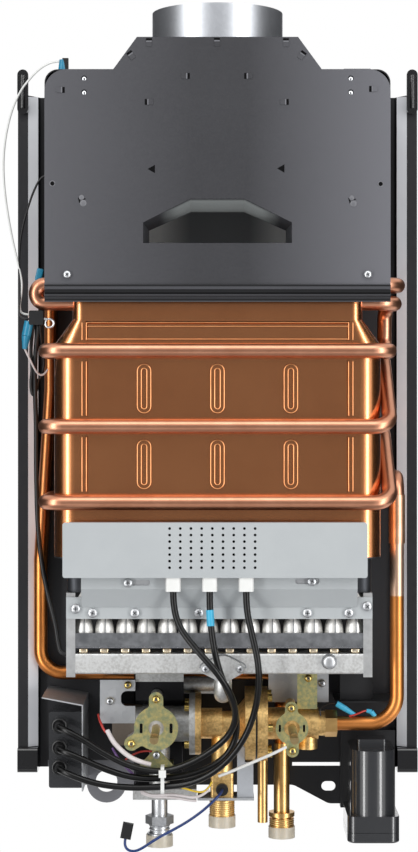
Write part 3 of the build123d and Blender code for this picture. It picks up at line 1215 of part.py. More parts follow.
def valve_mounting_plates():
    """Galvanised plates that hang the valves: right, left and under the cold leg."""
    right = block((PLATE_LEFT, PLATE_RIGHT), (PLATE_FRONT, PLATE_FRONT + SHEET), (PLATE_BOTTOM, PLATE_TOP))
    right += block((PLATE_LEFT, PLATE_RIGHT), (PLATE_FRONT, -SHEET), (PLATE_TOP - SHEET, PLATE_TOP))
    outline = polygon(
        (LUG_PLATE_LEFT, LUG_PLATE_TOP), (LUG_PLATE_RIGHT, LUG_PLATE_TOP), (LUG_PLATE_RIGHT, LUG_NOTCH_TOP),
        (LUG_NOTCH_LEFT, LUG_NOTCH_TOP), (LUG_NOTCH_LEFT, LUG_NOTCH_BOTTOM),
        (LUG_PLATE_RIGHT, LUG_NOTCH_BOTTOM),
        (LUG_PLATE_RIGHT, LUG_PLATE_BOTTOM), (LUG_PLATE_LEFT, LUG_PLATE_BOTTOM),
    )
    inner = [v for v in outline.vertices() if abs(v.X - LUG_NOTCH_LEFT) < END_GAP]
    left = upright(fillet(inner, LUG_NOTCH_CORNER), GAS_LUG_FRONT, SHEET)
    left += block((LUG_PLATE_LEFT, LUG_PLATE_LEFT + SHEET), (GAS_LUG_FRONT, -SHEET),
                  (LUG_PLATE_BOTTOM, LUG_FOOT_TOP))
    base = block((INLET_PLATE_LEFT, INLET_PLATE_RIGHT), (INLET_PLATE_FRONT, INLET_PLATE_BACK),
                 (COLD_SHOULDER - INLET_PLATE, COLD_SHOULDER))
    thread_end = (COLD_X, VALVE_Y, COLD_THREAD_BOTTOM)
    thread = rod(thread_end, (COLD_X, VALVE_Y, COLD_SHOULDER), THREAD_OD / 2 + END_GAP)
    return [right, left, base - thread]


def valve_brackets():
    """Zinc-passivated brackets: a strip down to the water valve and a small seat under the gas knob plate."""
    width = (BRACKET_LEFT, BRACKET_RIGHT)
    strip = block(width, (BRACKET_Y, BRACKET_Y + KNOB_PLATE), (VALVE_BRACKET_BOTTOM, PLATE_TOP))
    strip += block(width, (BRACKET_Y, PLATE_FRONT), (PLATE_TOP - SHEET, PLATE_TOP))
    foot = Pos(SPINDLE_GAS_X, SEAT_BOTTOM) * Rectangle(SEAT_WIDTH, 2 * KNOB_PLATE)
    head = Pos(SPINDLE_GAS_X, SEAT_SCREW_Z) * Circle(SEAT_RADIUS)
    seat = upright(make_hull(foot.edges() + head.edges()), SEAT_Y, KNOB_PLATE)
    half = SEAT_WIDTH / 2
    floor = block((SPINDLE_GAS_X - half, SPINDLE_GAS_X + half), (SEAT_Y - KNOB_PLATE, GAS_HOUSING_FRONT),
                  (SEAT_BOTTOM - KNOB_PLATE, SEAT_BOTTOM))
    return [strip, seat + (floor - gas_column())]



def battery_outline(width, length):
    """Return a long round plan around two cells, one behind the other."""
    return SlotOverall(length, width, rotation=90)


def battery_case():
    """Moulded battery tube with a contact cap on top and a wider rim at its foot."""
    place = Pos(BATTERY_X, BATTERY_Y, BATTERY_BOTTOM)
    case = place * extrude(battery_outline(BATTERY_OD, BATTERY_LENGTH), BATTERY_TOP - BATTERY_BOTTOM)
    rim = RectangleRounded(BATTERY_BASE_WIDTH, BATTERY_LENGTH, BATTERY_BASE_CORNER)
    case += place * extrude(rim, -BATTERY_BASE_HEIGHT)
    well = battery_outline(BATTERY_OD - 2 * BATTERY_WALL, BATTERY_LENGTH - 2 * BATTERY_WALL)
    depth = BATTERY_TOP - BATTERY_BOTTOM + BATTERY_BASE_HEIGHT - BATTERY_WALL
    case -= Pos(0, 0, -BATTERY_BASE_HEIGHT) * place * extrude(well, depth)
    half = BATTERY_CAP_WIDTH / 2
    cap = block((BATTERY_X - half, BATTERY_X + half), (BATTERY_Y - half, BATTERY_Y + half),
                (BATTERY_TOP, BATTERY_TOP + BATTERY_CAP_HEIGHT))
    return case + fillet(cap.edges().filter_by(Axis.Z), BATTERY_CAP_HEIGHT / 3)


def battery_cells():
    """Two D cells standing in the case."""
    top = BATTERY_TOP - BATTERY_WALL - END_GAP
    reach = (BATTERY_LENGTH - BATTERY_OD) / 2
    return [rod((BATTERY_X, BATTERY_Y + side * reach, top - CELL_LENGTH),
                (BATTERY_X, BATTERY_Y + side * reach, top),
                CELL_OD / 2) for side in (-1, 1)]


def battery_lid():
    """Push-on lid under the battery case."""
    top = BATTERY_BOTTOM - BATTERY_BASE_HEIGHT - END_GAP
    rim = RectangleRounded(BATTERY_BASE_WIDTH, BATTERY_LENGTH, BATTERY_BASE_CORNER)
    lid = Pos(BATTERY_X, BATTERY_Y, top) * extrude(rim, -BATTERY_LID_HEIGHT)
    return fillet(lid.faces().sort_by(Axis.Z)[0].edges(), BATTERY_WALL)


def battery_bracket():
    """Black channel that fixes the battery case to the pan."""
    face = BATTERY_Y + BATTERY_LENGTH / 2
    left, right = BATTERY_BRACKET_LEFT, BATTERY_BRACKET_RIGHT
    section = polygon(
        (left, -SHEET), (left, face), (right, face), (right, -SHEET), (right - SHEET, -SHEET),
        (right - SHEET, face + SHEET), (left + SHEET, face + SHEET), (left + SHEET, -SHEET),
    )
    return Pos(0, 0, BATTERY_BRACKET_BOTTOM) * extrude(section, BATTERY_BRACKET_TOP - BATTERY_BRACKET_BOTTOM)


def cable_shelf():
    """Sheet shelf with an upright tab above the battery case."""
    shelf = block((SHELF_LEFT, SHELF_RIGHT), (SHELF_FRONT, -SHEET), (SHELF_Z, SHELF_Z + SHEET))
    return shelf + block((SHELF_UPRIGHT_LEFT, SHELF_UPRIGHT_RIGHT),
                         (SHELF_UPRIGHT_Y, SHELF_UPRIGHT_Y + SHEET),
                         (SHELF_Z, SHELF_UPRIGHT_TOP))


def flue_sensor_terminal():
    """Insulated push-on terminal on the hood's shoulder."""
    half = TERMINAL_WIDTH / 2
    return block((TERMINAL_X, TERMINAL_X + TERMINAL_WIDTH), (TERMINAL_Y - half, TERMINAL_Y + half),
                 (HOOD_SHOULDER, HOOD_SHOULDER + TERMINAL_HEIGHT + half))


def overheat_switch():
    """Clip-on overheat switch under the left hairpin bend."""
    top = FIN_TUBE_LOWER_Z - COIL_OD / 2 - COIL_SEAT
    half = SWITCH_BLOCK_WIDTH / 2
    body = block((SWITCH_BLOCK_X - half, SWITCH_BLOCK_X + half),
                 (FIN_TUBE_FRONT_Y - SWITCH_BLOCK_DEPTH / 2, FIN_TUBE_FRONT_Y + SWITCH_BLOCK_DEPTH / 2),
                 (top - SWITCH_BLOCK_HEIGHT, top))
    return fillet(body.edges().filter_by(Axis.Y), half / 4)


def cable_tie():
    """Nylon tie round the three ignition leads."""
    inner = RectangleRounded(TIE_INNER_DEPTH, TIE_INNER_HEIGHT, TIE_INNER_DEPTH / 4)
    outer = RectangleRounded(TIE_INNER_DEPTH + 2 * TIE_BAND, TIE_INNER_HEIGHT + 2 * TIE_BAND,
                             TIE_INNER_DEPTH / 3)
    band = extrude(Plane.YZ.offset(TIE_X - TIE_WIDTH / 2) * Pos(TIE_Y, TIE_Z) * (outer - inner), TIE_WIDTH)
    front = TIE_Y - TIE_INNER_DEPTH / 2 - TIE_BAND
    return band + block((TIE_X - TIE_WIDTH, TIE_X + TIE_WIDTH), (front - 2 * TIE_BAND, front + TIE_BAND / 2),
                        (TIE_Z + TIE_WIDTH, TIE_Z + 3 * TIE_WIDTH))


def wire_connector():
    """Black two-pole connector on the end of the blue lead."""
    end = Vector(*BLUE_LEAD[-1])
    along = end - Vector(*BLUE_LEAD[-2])
    base = (Align.CENTER, Align.CENTER, Align.MIN)
    body = Box(CONNECTOR_WIDTH, CONNECTOR_DEPTH, CONNECTOR_LENGTH, align=base)
    return Plane(origin=end, x_dir=along.cross(Vector(0, -1, 0)), z_dir=along) * body


def sheet_screws():
    """Screw heads on the burner's front plate, the electrode bracket, the manifold and the hood."""
    front = BURNER_FRONT - BURNER_SHEET
    places = [(BURNER_X + share * BURNER_HALF, front, BURNER_PLATE_TOP - drop, SCREW_RADIUS)
              for share, drop in zip(BURNER_SCREW_SHARES, BURNER_SCREW_DROPS)]
    places += [(x, BRACKET_FRONT, z, SMALL_SCREW_RADIUS) for x, z in BRACKET_SCREWS]
    for side in (-1, 1):
        ear = MANIFOLD_NECK_X + side * MANIFOLD_EAR
        places.append((ear, BURNER_FRONT - MANIFOLD_BOSS, MANIFOLD_FLANGE_Z, SMALL_SCREW_RADIUS))
        places.append((side * HOOD_SCREW_X, HOOD_FRONT, HOOD_SCREW_Z, SMALL_SCREW_RADIUS))
    return [rod((x, y, z), (x, y - SCREW_HEIGHT, z), radius) for x, y, z, radius in places]


def flange_bolts():
    """Bolts through the joint between the gas and water valves, and round the diaphragm housing."""
    bolts = []
    reach = GAS_FLANGE_RADIUS - BOLT_RADIUS - SHEET
    for turn in (45, 135, 225, 315):
        y = VALVE_Y + reach * cos(radians(turn))
        z = SPINDLE_Z + reach * sin(radians(turn))
        bolts.append(rod((GAS_BARREL_END, y, z), (GAS_BARREL_END - BOLT_HEIGHT, y, z), BOLT_RADIUS))
    reach = DIAPHRAGM_RADIUS - BOLT_RADIUS - SHEET
    right = DIAPHRAGM_X + DIAPHRAGM_HALF
    for turn in range(0, 360, 60):
        y = VALVE_Y + reach * cos(radians(turn))
        z = SPINDLE_Z + reach * sin(radians(turn))
        bolts.append(rod((right, y, z), (right + BOLT_HEIGHT, y, z), BOLT_RADIUS))
    return bolts


def knob_plate_screws():
    """Screw heads on the ears of both knob plates and on the valves' plates and brackets."""
    front = KNOB_PLATE_BACK - KNOB_PLATE
    places = [(SPINDLE_GAS_X + x, front, SPINDLE_Z + z) for x, z in GAS_EARS]
    places += [(SPINDLE_WATER_X + x, front, SPINDLE_Z + z) for x, z in WATER_EARS]
    places += PLATE_SCREWS
    return [rod((x, y, z), (x, y - SCREW_HEIGHT, z), SMALL_SCREW_RADIUS) for x, y, z in places]


def build_nodes():
    """Return every piece of the heater by its name."""
    pan = back_plate()
    cross_plates = [burner_cross_plate(BURNER_FRONT - BURNER_SHEET, 0),
                    burner_cross_plate(BURNER_BACK - BURNER_SHEET, BURNER_SHEET)]
    return {
        "back_plate": pan,
        "cover_catches": cover_hooks() + cover_stops(pan),
        "flue_hood_front": flue_hood_front(),
        "flue_hood_body": flue_hood_body(),
        "flue_collar": flue_collar(),
        "combustion_shell": combustion_shell(),
        "chamber_brackets": chamber_brackets(),
        "fin_core": fin_core(),
        "return_bends": return_bends(),
        "coil_pipe": coil_pipe(),
        "riser_pipe": riser_pipe(),
        "riser_sleeve": riser_sleeve(),
        "hot_pipe": hot_pipe(),
        "burner_frame": burner_frame(),
        "burner_side_plates": burner_side_plates(),
        "burner_cross_plates": cross_plates,
        "burner_air_bar": burner_air_bar(),
        "burner_bars": burner_bars(),
        "gas_manifold": gas_manifold(),
        "gas_nozzles": gas_nozzles(),
        "sheet_screws": sheet_screws(),
        "electrode_cover": electrode_cover(),
        "electrode_bracket": electrode_bracket(),
        "electrode_boots": electrode_boots(),
        "electrodes": electrodes(),
        "igniter_box": igniter_box(),
        "igniter_shield": igniter_shield(),
        "gas_valve_body": gas_valve_body(),
        "gas_knob_plate": lobed_plate(SPINDLE_GAS_X, GAS_DISC_RADIUS, GAS_LOBE_RADIUS, GAS_EARS),
        "gas_spindle": spindle(SPINDLE_GAS_X),
        "gas_inlet_nipple": gas_inlet_nipple(),
        "gas_dust_cap": dust_cap(GAS_INLET_X, INLET_Y, GAS_THREAD_BOTTOM),
        "water_valve_body": water_valve_body(),
        "water_valve_cover": water_valve_cover(),
        "diaphragm": diaphragm(),
        "push_rod": push_rod(),
        "water_knob_plate": lobed_plate(SPINDLE_WATER_X, WATER_DISC_RADIUS, WATER_LOBE_RADIUS, WATER_EARS),
        "water_spindle": spindle(SPINDLE_WATER_X),
        "cold_dust_cap": dust_cap(COLD_X, VALVE_Y, COLD_THREAD_BOTTOM),
        "union_nut": union_nut(),
        "hot_outlet_tube": hot_outlet_tube(),
        "hot_dust_cap": dust_cap(HOT_X, HOT_Y, HOT_THREAD_BOTTOM),
        "relief_tube": relief_tube(),
        "inlet_grommet": inlet_grommet(),
        "flow_switch": microswitch(),
        "valve_fasteners": flange_bolts() + knob_plate_screws(),
        "valve_mounting_plates": valve_mounting_plates(),
        "valve_brackets": valve_brackets(),
        "battery_case": battery_case(),
        "battery_cells": battery_cells(),
        "battery_lid": battery_lid(),
        "battery_bracket": battery_bracket(),
        "cable_shelf": cable_shelf(),
        "ignition_leads": [
            cord("left lead", LEAD_LEFT, LEAD_OD),
            cord("middle lead", LEAD_MIDDLE, LEAD_OD),
            cord("right lead", LEAD_RIGHT, LEAD_OD),
        ],
        "thermal_switches": [flue_sensor_terminal(), overheat_switch()],
        "sensor_wires": [
            cord("white wire", WHITE_WIRE, SENSOR_WIRE_OD),
            cord("black wire", BLACK_WIRE, SENSOR_WIRE_OD),
        ],
        "harness": [
            cord("harness", HARNESS, HARNESS_OD),
            cord("harness sleeve", HARNESS_SLEEVE, SLEEVE_OD),
        ],
        "blue_lead": cord("blue lead", BLUE_LEAD, BLUE_LEAD_OD),
        "wire_connector": wire_connector(),
        "cable_tie": cable_tie(),
    }


def main():
    """Write one STEP file for each piece."""
    os.makedirs(PART_FOLDER, exist_ok=True)
    for name, shape in build_nodes().items():
        solids = shape if isinstance(shape, list) else [shape]
        export_step(Compound(children=[solid for piece in solids for solid in piece.solids()]),
                    f"{PART_FOLDER}/{name}.step")


if __name__ == "__main__":
    main()
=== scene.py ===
"""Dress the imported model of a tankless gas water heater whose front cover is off.

Metres, in the heater's own frame: +X to the right, the open front towards -Y, +Z up, the wall at Y = 0.
"""
from __future__ import annotations

import logging
import math
from dataclasses import dataclass, replace
from enum import Enum
from functools import cache
from typing import Iterable, Optional, Sequence

import bmesh
import bpy
from mathutils import Matrix, Vector

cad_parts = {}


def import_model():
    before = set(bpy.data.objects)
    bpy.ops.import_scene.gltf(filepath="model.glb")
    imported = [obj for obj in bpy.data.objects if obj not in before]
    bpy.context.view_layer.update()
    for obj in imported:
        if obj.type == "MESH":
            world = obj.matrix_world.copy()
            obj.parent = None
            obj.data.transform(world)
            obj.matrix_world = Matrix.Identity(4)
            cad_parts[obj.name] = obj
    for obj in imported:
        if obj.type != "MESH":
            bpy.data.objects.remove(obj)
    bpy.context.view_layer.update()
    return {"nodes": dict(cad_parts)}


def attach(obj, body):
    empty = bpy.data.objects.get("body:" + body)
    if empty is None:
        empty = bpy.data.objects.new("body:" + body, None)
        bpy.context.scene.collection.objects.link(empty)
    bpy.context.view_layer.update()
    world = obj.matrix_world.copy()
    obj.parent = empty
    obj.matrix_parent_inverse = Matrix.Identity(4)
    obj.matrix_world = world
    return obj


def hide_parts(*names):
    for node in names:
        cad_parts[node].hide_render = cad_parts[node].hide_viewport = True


LOG = logging.getLogger("water_heater")
MM = 0.001
HEATER = "heater"

Point = Sequence[float]
Points = Sequence[Point]
Levels = Sequence[float]
Colour = Sequence[float]
Tree = bpy.types.NodeTree
Socket = bpy.types.NodeSocket


def linear(hex_colour: str) -> Colour:
    """Turn an sRGB hex colour into linear light.

    Args:
        hex_colour: Colour as "#rrggbb".

    Returns:
        Linear red, green, blue and full alpha.
    """
    channels = [int(hex_colour[i:i + 2], 16) / 255 for i in (1, 3, 5)]
    curved = [c / 12.92 if c <= 0.04045 else ((c + 0.055) / 1.055) ** 2.4 for c in channels]
    return (curved[0], curved[1], curved[2], 1.0)


def per_metre(size_mm: float) -> float:
    """Return the texture scale at which one feature is a size in millimetres."""
    return 1.0 / (size_mm * MM)


def add_node(tree: Tree, kind: str, inputs: Optional[dict] = None, **settings) -> bpy.types.Node:
    """Add a shader node with its settings, values and links.

    Args:
        tree: Node tree that gets the node.
        kind: Blender's type name of the node, after its ShaderNode prefix.
        inputs: Socket name or number to a value, or to the output socket that feeds it.
        **settings: Properties of the node.

    Returns:
        The new node.
    """
    node = tree.nodes.new("ShaderNode" + kind)
    for name, value in settings.items():
        setattr(node, name, value)
    for name, value in (inputs or {}).items():
        if isinstance(value, Socket):
            tree.links.new(value, node.inputs[name])
        else:
            node.inputs[name].default_value = value
    return node


def number_of(tree: Tree, operation: str, *operands: Socket) -> Socket:
    """Return the result of an operation on numbers."""
    return add_node(tree, "Math", dict(enumerate(operands)), operation=operation).outputs["Value"]


def vector_of(tree: Tree, operation: str, *operands: Socket | Point) -> Socket:
    """Return the result of an operation on vectors."""
    return add_node(tree, "VectorMath", dict(enumerate(operands)), operation=operation).outputs["Vector"]


def blend(tree: Tree, share: Socket, first: Socket | Colour, second: Socket | Colour) -> Socket:
    """Return a mix of two colours, with a share of the second."""
    return add_node(tree, "Mix", {0: share, 6: first, 7: second}, data_type="RGBA").outputs[2]


def noise(tree: Tree, place: Socket, size_mm: float, detail: float, roughness: float) -> Socket:
    """Return a noise whose features have a size in millimetres."""
    inputs = {"Vector": place, "Scale": per_metre(size_mm), "Detail": detail, "Roughness": roughness}
    return add_node(tree, "TexNoise", inputs).outputs["Fac"]


def stretch(tree: Tree, value: Socket, band: Point, low: float, high: float) -> Socket:
    """Return a value moved from a band to the range between a low and a high value."""
    inputs = {"Value": value, "From Min": band[0], "From Max": band[1], "To Min": low, "To Max": high}
    return add_node(tree, "MapRange", inputs).outputs["Result"]


def bare_tree(owner: bpy.types.ID) -> Tree:
    """Return the emptied node tree of a material or a world."""
    owner.use_nodes = True
    owner.node_tree.nodes.clear()
    return owner.node_tree


def new_object(name: str, data: bpy.types.ID) -> bpy.types.Object:
    """Return a new object of the scene."""
    made = bpy.data.objects.new(name, data)
    bpy.context.scene.collection.objects.link(made)
    return made


class Grain(Enum):
    """Direction of a surface's fine marks, as a stretch of the pattern along X, Y and Z."""

    EVEN = (1.0, 1.0, 1.0)
    ALONG_Z = (1.0, 1.0, 0.06)


@dataclass(frozen=True)
class Zone:
    """A box of the object with a colour laid over the rest, by its middle and half sizes in millimetres;
    zones give some of the object's own colours and also painted light and shade.

    The colour fades in over the soft share of the half size.
    """

    middle: Point
    half: Point
    colour: str
    soft: float = 0.01

    def tint(self, tree: Tree, place: Socket, colour: Socket) -> Socket:
        """Lay the zone's colour over another.

        Args:
            tree: The material's node tree.
            place: Object coordinates.
            colour: The colour outside the zone.

        Returns:
            A colour socket.
        """
        off = vector_of(tree, "SUBTRACT", place, [value * MM for value in self.middle])
        away = vector_of(tree, "ABSOLUTE", off)
        share = vector_of(tree, "DIVIDE", away, [value * MM for value in self.half])
        axes = add_node(tree, "SeparateXYZ", {"Vector": share}).outputs
        flat = number_of(tree, "MAXIMUM", axes["X"], axes["Y"])
        far = number_of(tree, "MAXIMUM", flat, axes["Z"])
        return blend(tree, stretch(tree, far, (1.0, 1.0 - self.soft), 0.0, 1.0), colour, linear(self.colour))


# Bands of the noises in which patches and pits fade in and the fine grain changes the gloss.
PATCH_BAND = (0.35, 0.68)
PIT_BAND = (0.18, 0.36)
GRAIN_BAND = (0.3, 0.7)
# Detail and roughness of each noise.
PATCH_NOISE = (4.0, 0.6)
STAIN_NOISE = (6.0, 0.7)
PIT_NOISE = (2.0, 0.5)
GRAIN_NOISE = (3.0, 0.5)
SMOOTHEST = 0.02


@dataclass(frozen=True)
class Finish:
    """A surface with a ground colour, drifting patches, a fine grain and zones of another colour.

    Sizes are in millimetres, colours are sRGB.
    """

    name: str
    ground: str
    patch: str
    metallic: float
    roughness: float
    spread: float = 0.06
    grain: Grain = Grain.EVEN
    grain_mm: float = 1.2
    patch_mm: float = 30.0
    patch_share: float = 0.6
    relief_mm: float = 0.02
    coat: float = 0.0
    specular: float = 0.5
    zones: tuple[Zone, ...] = ()

    def patches(self, tree: Tree, place: Socket) -> Socket:
        """Return how much of the patch colour shows at each place, from 0 to 1."""
        drift = noise(tree, place, self.patch_mm, *PATCH_NOISE)
        return stretch(tree, drift, PATCH_BAND, 0.0, self.patch_share)

    def build(self) -> bpy.types.Material:
        """Make the material."""
        material = bpy.data.materials.new(self.name)
        tree = bare_tree(material)
        place = add_node(tree, "TexCoord").outputs["Object"]
        stretched = add_node(tree, "Mapping", {"Vector": place, "Scale": self.grain.value})
        fine = noise(tree, stretched.outputs["Vector"], self.grain_mm, *GRAIN_NOISE)
        rough = stretch(tree, fine, GRAIN_BAND, max(SMOOTHEST, self.roughness - self.spread),
                        self.roughness + self.spread)
        colour = blend(tree, self.patches(tree, place), linear(self.ground), linear(self.patch))
        for zone in self.zones:
            colour = zone.tint(tree, place, colour)
        shader = add_node(tree, "BsdfPrincipled", {
            "Base Color": colour, "Metallic": self.metallic, "Roughness": rough,
            "Coat Weight": self.coat, "Specular IOR Level": self.specular,
        })
        if self.relief_mm:
            bump = add_node(tree, "Bump", {"Height": fine, "Distance": self.relief_mm * MM, "Strength": 1.0})
            tree.links.new(bump.outputs["Normal"], shader.inputs["Normal"])
        add_node(tree, "OutputMaterial", {"Surface": shader.outputs["BSDF"]})
        return material


@cache
def material_of(finish: Finish) -> bpy.types.Material:
    """Return a finish's material, made once."""
    return finish.build()


@dataclass(frozen=True)
class SpangledZinc(Finish):
    """Galvanised sheet: zinc crystals of a few millimetres, each a little lighter or darker."""

    crystal_mm: float = 5.0

    def patches(self, tree: Tree, place: Socket) -> Socket:
        """Return one level of the patch colour for each zinc crystal."""
        cells = add_node(tree, "TexVoronoi", {"Vector": place, "Scale": per_metre(self.crystal_mm)})
        return stretch(tree, cells.outputs["Color"], (0.0, 1.0), 0.0, self.patch_share)


@dataclass(frozen=True)
class CastSkin(Finish):
    """As-cast metal: a pitted skin with dirt left in the hollows."""

    patch_mm: float = 20.0
    patch_share: float = 0.5
    relief_mm: float = 0.05
    pit_mm: float = 2.2

    def patches(self, tree: Tree, place: Socket) -> Socket:
        """Return dirt that gathers in pits and in drifting stains."""
        stain = noise(tree, place, self.patch_mm, *STAIN_NOISE)
        pits = noise(tree, place, self.pit_mm, *PIT_NOISE)
        return stretch(tree, number_of(tree, "MULTIPLY", stain, pits), PIT_BAND, 0.0, self.patch_share)


@dataclass(frozen=True)
class FrostedPlastic(Finish):
    """Thin translucent polyethylene: milky, lets part of the light through."""

    passing: float = 0.45
    bending: float = 1.5

    def build(self) -> bpy.types.Material:
        """Make the plastic with part of its light passing through."""
        material = super().build()
        shader = next(n for n in material.node_tree.nodes if n.type == "BSDF_PRINCIPLED")
        shader.inputs["Transmission Weight"].default_value = self.passing
        shader.inputs["IOR"].default_value = self.bending
        return material


def plain(name: str, ground: str, patch: str, roughness: float, patch_mm: float, **more) -> Finish:
    """Return a finish without metal, such as paint, rubber or plastic."""
    return Finish(name, ground, patch, 0.0, roughness, patch_mm=patch_mm, **more)


def metal(name: str, ground: str, patch: str, roughness: float, patch_mm: float, **more) -> Finish:
    """Return a bare metal."""
    return Finish(name, ground, patch, 1.0, roughness, patch_mm=patch_mm, **more)


def smooth_metal(name: str, ground: str, patch: str, roughness: float, patch_mm: float,
                 spread: float = 0.02, **more) -> Finish:
    """Return a drawn, turned or polished metal without relief."""
    return metal(name, ground, patch, roughness, patch_mm, spread=spread, relief_mm=0.0, **more)


# Satin grey paint on the front of the draught hood, with painted light towards both sides, painted shade on
# the band of ribs along its lower edge, and painted light on the brow of the draught opening.
HOOD_PAINT = plain("hood_paint", "#333336", "#2f2f32", 0.4, 70, relief_mm=0.006, specular=0.45, zones=(
    # Painted light towards the left and, stronger, towards the right.
    Zone((-160.0, -124.0, -90.0), (140.0, 900.0, 900.0), "#505054", soft=1.0),
    Zone((165.0, -124.0, -90.0), (140.0, 900.0, 900.0), "#66666b", soft=1.0),
    # Painted shade on the band of the ribs.
    Zone((0.0, -110.0, -194.5), (200.0, 60.0, 9.5), "#2d2d30"),
    # Painted light on the brow of the draught opening, strongest at its top middle.
    Zone((0.0, -105.0, -132.0), (64.0, 18.6, 20.0), "#3b3b3e"),
    Zone((2.0, -105.0, -120.0), (50.0, 18.6, 14.0), "#979b9a", soft=0.3)))
# Painted highlight: the hood's paint made lighter on the rims of its pressed tongues, the rims of its holes
# and its dimple domes.
TONGUE_HIGHLIGHT = plain("tongue_highlight", "#6b6b6f", "#5c5c60", 0.4, 20, specular=0.45)
# Painted highlight on the crests and painted shade in the hollows of the two ribs along the hood's lower
# edge.
RIB_HIGHLIGHT = plain("rib_highlight", "#3f3f43", "#39393d", 0.4, 70, relief_mm=0.0, specular=0.45)
RIB_SHADE = plain("rib_shade", "#131315", "#0f0f11", 0.6, 70, relief_mm=0.0, specular=0.2)
SHADOW = plain("shadow", "#0b0b0c", "#070708", 0.9, 10, specular=0.1)
BLACK_COAT = plain("black_coat", "#141416", "#1d1d20", 0.4, 60, relief_mm=0.006)
# The hood's body, with light from the draught opening on its back wall.
HOOD_INSIDE = replace(BLACK_COAT, name="hood_inside", zones=(
    Zone((0.0, -20.0, -128.0), (80.0, 60.0, 45.0), "#8a8c8d", soft=0.2),
    Zone((-58.0, -20.0, -138.0), (34.0, 60.0, 40.0), "#f4f2ee", soft=0.8),
    Zone((58.0, -20.0, -134.0), (30.0, 60.0, 40.0), "#e0e0de", soft=0.8)))
GLOSS_BLACK = plain("gloss_black", "#0e0e0f", "#141415", 0.2, 30, spread=0.02, relief_mm=0.0, coat=1.0)
# The pan that everything hangs on, with its grey lower left tab.
PAN_COAT = plain("pan_coat", "#17171a", "#202125", 0.38, 60, relief_mm=0.006, zones=(
    Zone((-110.0, 0.0, -640.0), (40.0, 40.0, 42.0), "#7e7e82"),))
# Painted sheen: near-white bands standing for light on the pan's black slanted edges, with painted shade
# towards the bottom.
STRIP_SHEEN = plain("strip_sheen", "#f2f3f6", "#e2e3e7", 0.35, 50, relief_mm=0.0, zones=(
    Zone((0.0, 0.0, -570.0), (200.0, 40.0, 190.0), "#97989d", soft=0.6),))
ZINC_SHEET = SpangledZinc("zinc_sheet", "#c9cbcd", "#a5a8ac", 1.0, 0.46, patch_share=0.4, relief_mm=0.004)
# Brighter galvanised sheet, rolled round, of the flue collar.
COLLAR_ZINC = SpangledZinc("collar_zinc", "#c9ccd1", "#bcbfc4", 1.0, 0.38, spread=0.03, patch_share=0.5,
                           crystal_mm=3.5, relief_mm=0.001)
# Lacquered copper shell, browned by heat, and the raised edges of its beads in a paler copper, partly painted
# highlight.
SHELL_COPPER = smooth_metal("shell_copper", "#db915b", "#c87f4c", 0.25, 60, coat=0.9)
BEAD_HIGHLIGHT_COPPER = smooth_metal("bead_highlight_copper", "#d79c6c", "#bd8152", 0.45, 20)
# Copper tube of the coil, dulled pink.
COIL_COPPER = smooth_metal("coil_copper", "#d59a7c", "#bd8062", 0.33, 30)
# Clean copper tube of the riser, pale where it meets the coil.
PIPE_COPPER = smooth_metal("pipe_copper", "#df9250", "#c67b40", 0.38, 24, zones=(
    Zone((153.5, -60.0, -424.0), (20.0, 40.0, 24.0), "#f0c8ac", soft=0.06),))
# The hot pipe, darker brown along its upper run at the left of the chamber.
HOT_COPPER = smooth_metal("hot_copper", "#d68848", "#bb7038", 0.3, 24, spread=0.03, zones=(
    Zone((-150.0, -30.0, -290.0), (30.0, 60.0, 150.0), "#a3683f", soft=0.4),))
SLEEVE_COPPER = smooth_metal("sleeve_copper", "#edbf9c", "#cf9c78", 0.38, 18)
BURNER_STEEL = metal("burner_steel", "#e4e3e0", "#c2c1be", 0.5, 12, grain=Grain.ALONG_Z, relief_mm=0.004)
# Burner side plates, duller than the cover.
SIDE_STEEL = metal("side_steel", "#c8c9c9", "#a6a7a7", 0.46, 9, spread=0.03, relief_mm=0.003)
# Satin plated sheet of the electrode cover, its bracket and the burner's cross plates.
SATIN_STEEL = Finish("satin_steel", "#b5b9ba", "#acb0b2", 0.4, 0.46, spread=0.03, patch_mm=50,
                     relief_mm=0.002)
GREY_STEEL = metal("grey_steel", "#8f9194", "#6b6d70", 0.45, 9, patch_share=0.9)
DARK_STEEL = metal("dark_steel", "#4c4e52", "#393b3e", 0.5, 18)
CAST_ALUMINIUM = CastSkin("cast_aluminium", "#d9dad9", "#a3a19d", 1.0, 0.5)
# The gas valve's casting, with painted shade on its rear housing and its upper duct, and a darker greyish
# brown on the block at its left front.
VALVE_ALUMINIUM = CastSkin("valve_aluminium", "#c9cac9", "#918f8b", 1.0, 0.5, zones=(
    # Painted shade on the rear housing and on the upper duct.
    Zone((-50.0, -30.0, -570.0), (60.0, 17.0, 70.0), "#2b2b2d"),
    Zone((-50.0, -40.0, -531.5), (60.0, 22.0, 10.5), "#2b2b2d"),
    Zone((-78.0, -56.0, -558.0), (14.0, 9.0, 18.0), "#80766c")))
# Brighter, smoother cast and turned metal of the gas inlet.
SILVER_CAST = CastSkin("silver_cast", "#d6d8da", "#b0b2b4", 1.0, 0.4, spread=0.05, relief_mm=0.02,
                       patch_mm=12, patch_share=0.4)
CAST_BRASS = CastSkin("cast_brass", "#f6d08c", "#a37b45", 1.0, 0.42, patch_mm=14, patch_share=0.6)
# Spindles, brass gone dull.
SPINDLE_BRASS = smooth_metal("spindle_brass", "#c4ab7c", "#97805a", 0.36, 7)
TURNED_BRASS = smooth_metal("turned_brass", "#e0b878", "#bf945a", 0.33, 12)
# Nozzle bodies, bright brass with burnt edges.
NOZZLE_BRASS = metal("nozzle_brass", "#f6ecd6", "#cfa86c", 0.35, 2.5, relief_mm=0.0)
# Yellow-green chromate on zinc plate.
CHROMATE = metal("chromate", "#dccf8e", "#9fab88", 0.38, 3.5, patch_share=1.0, relief_mm=0.01)
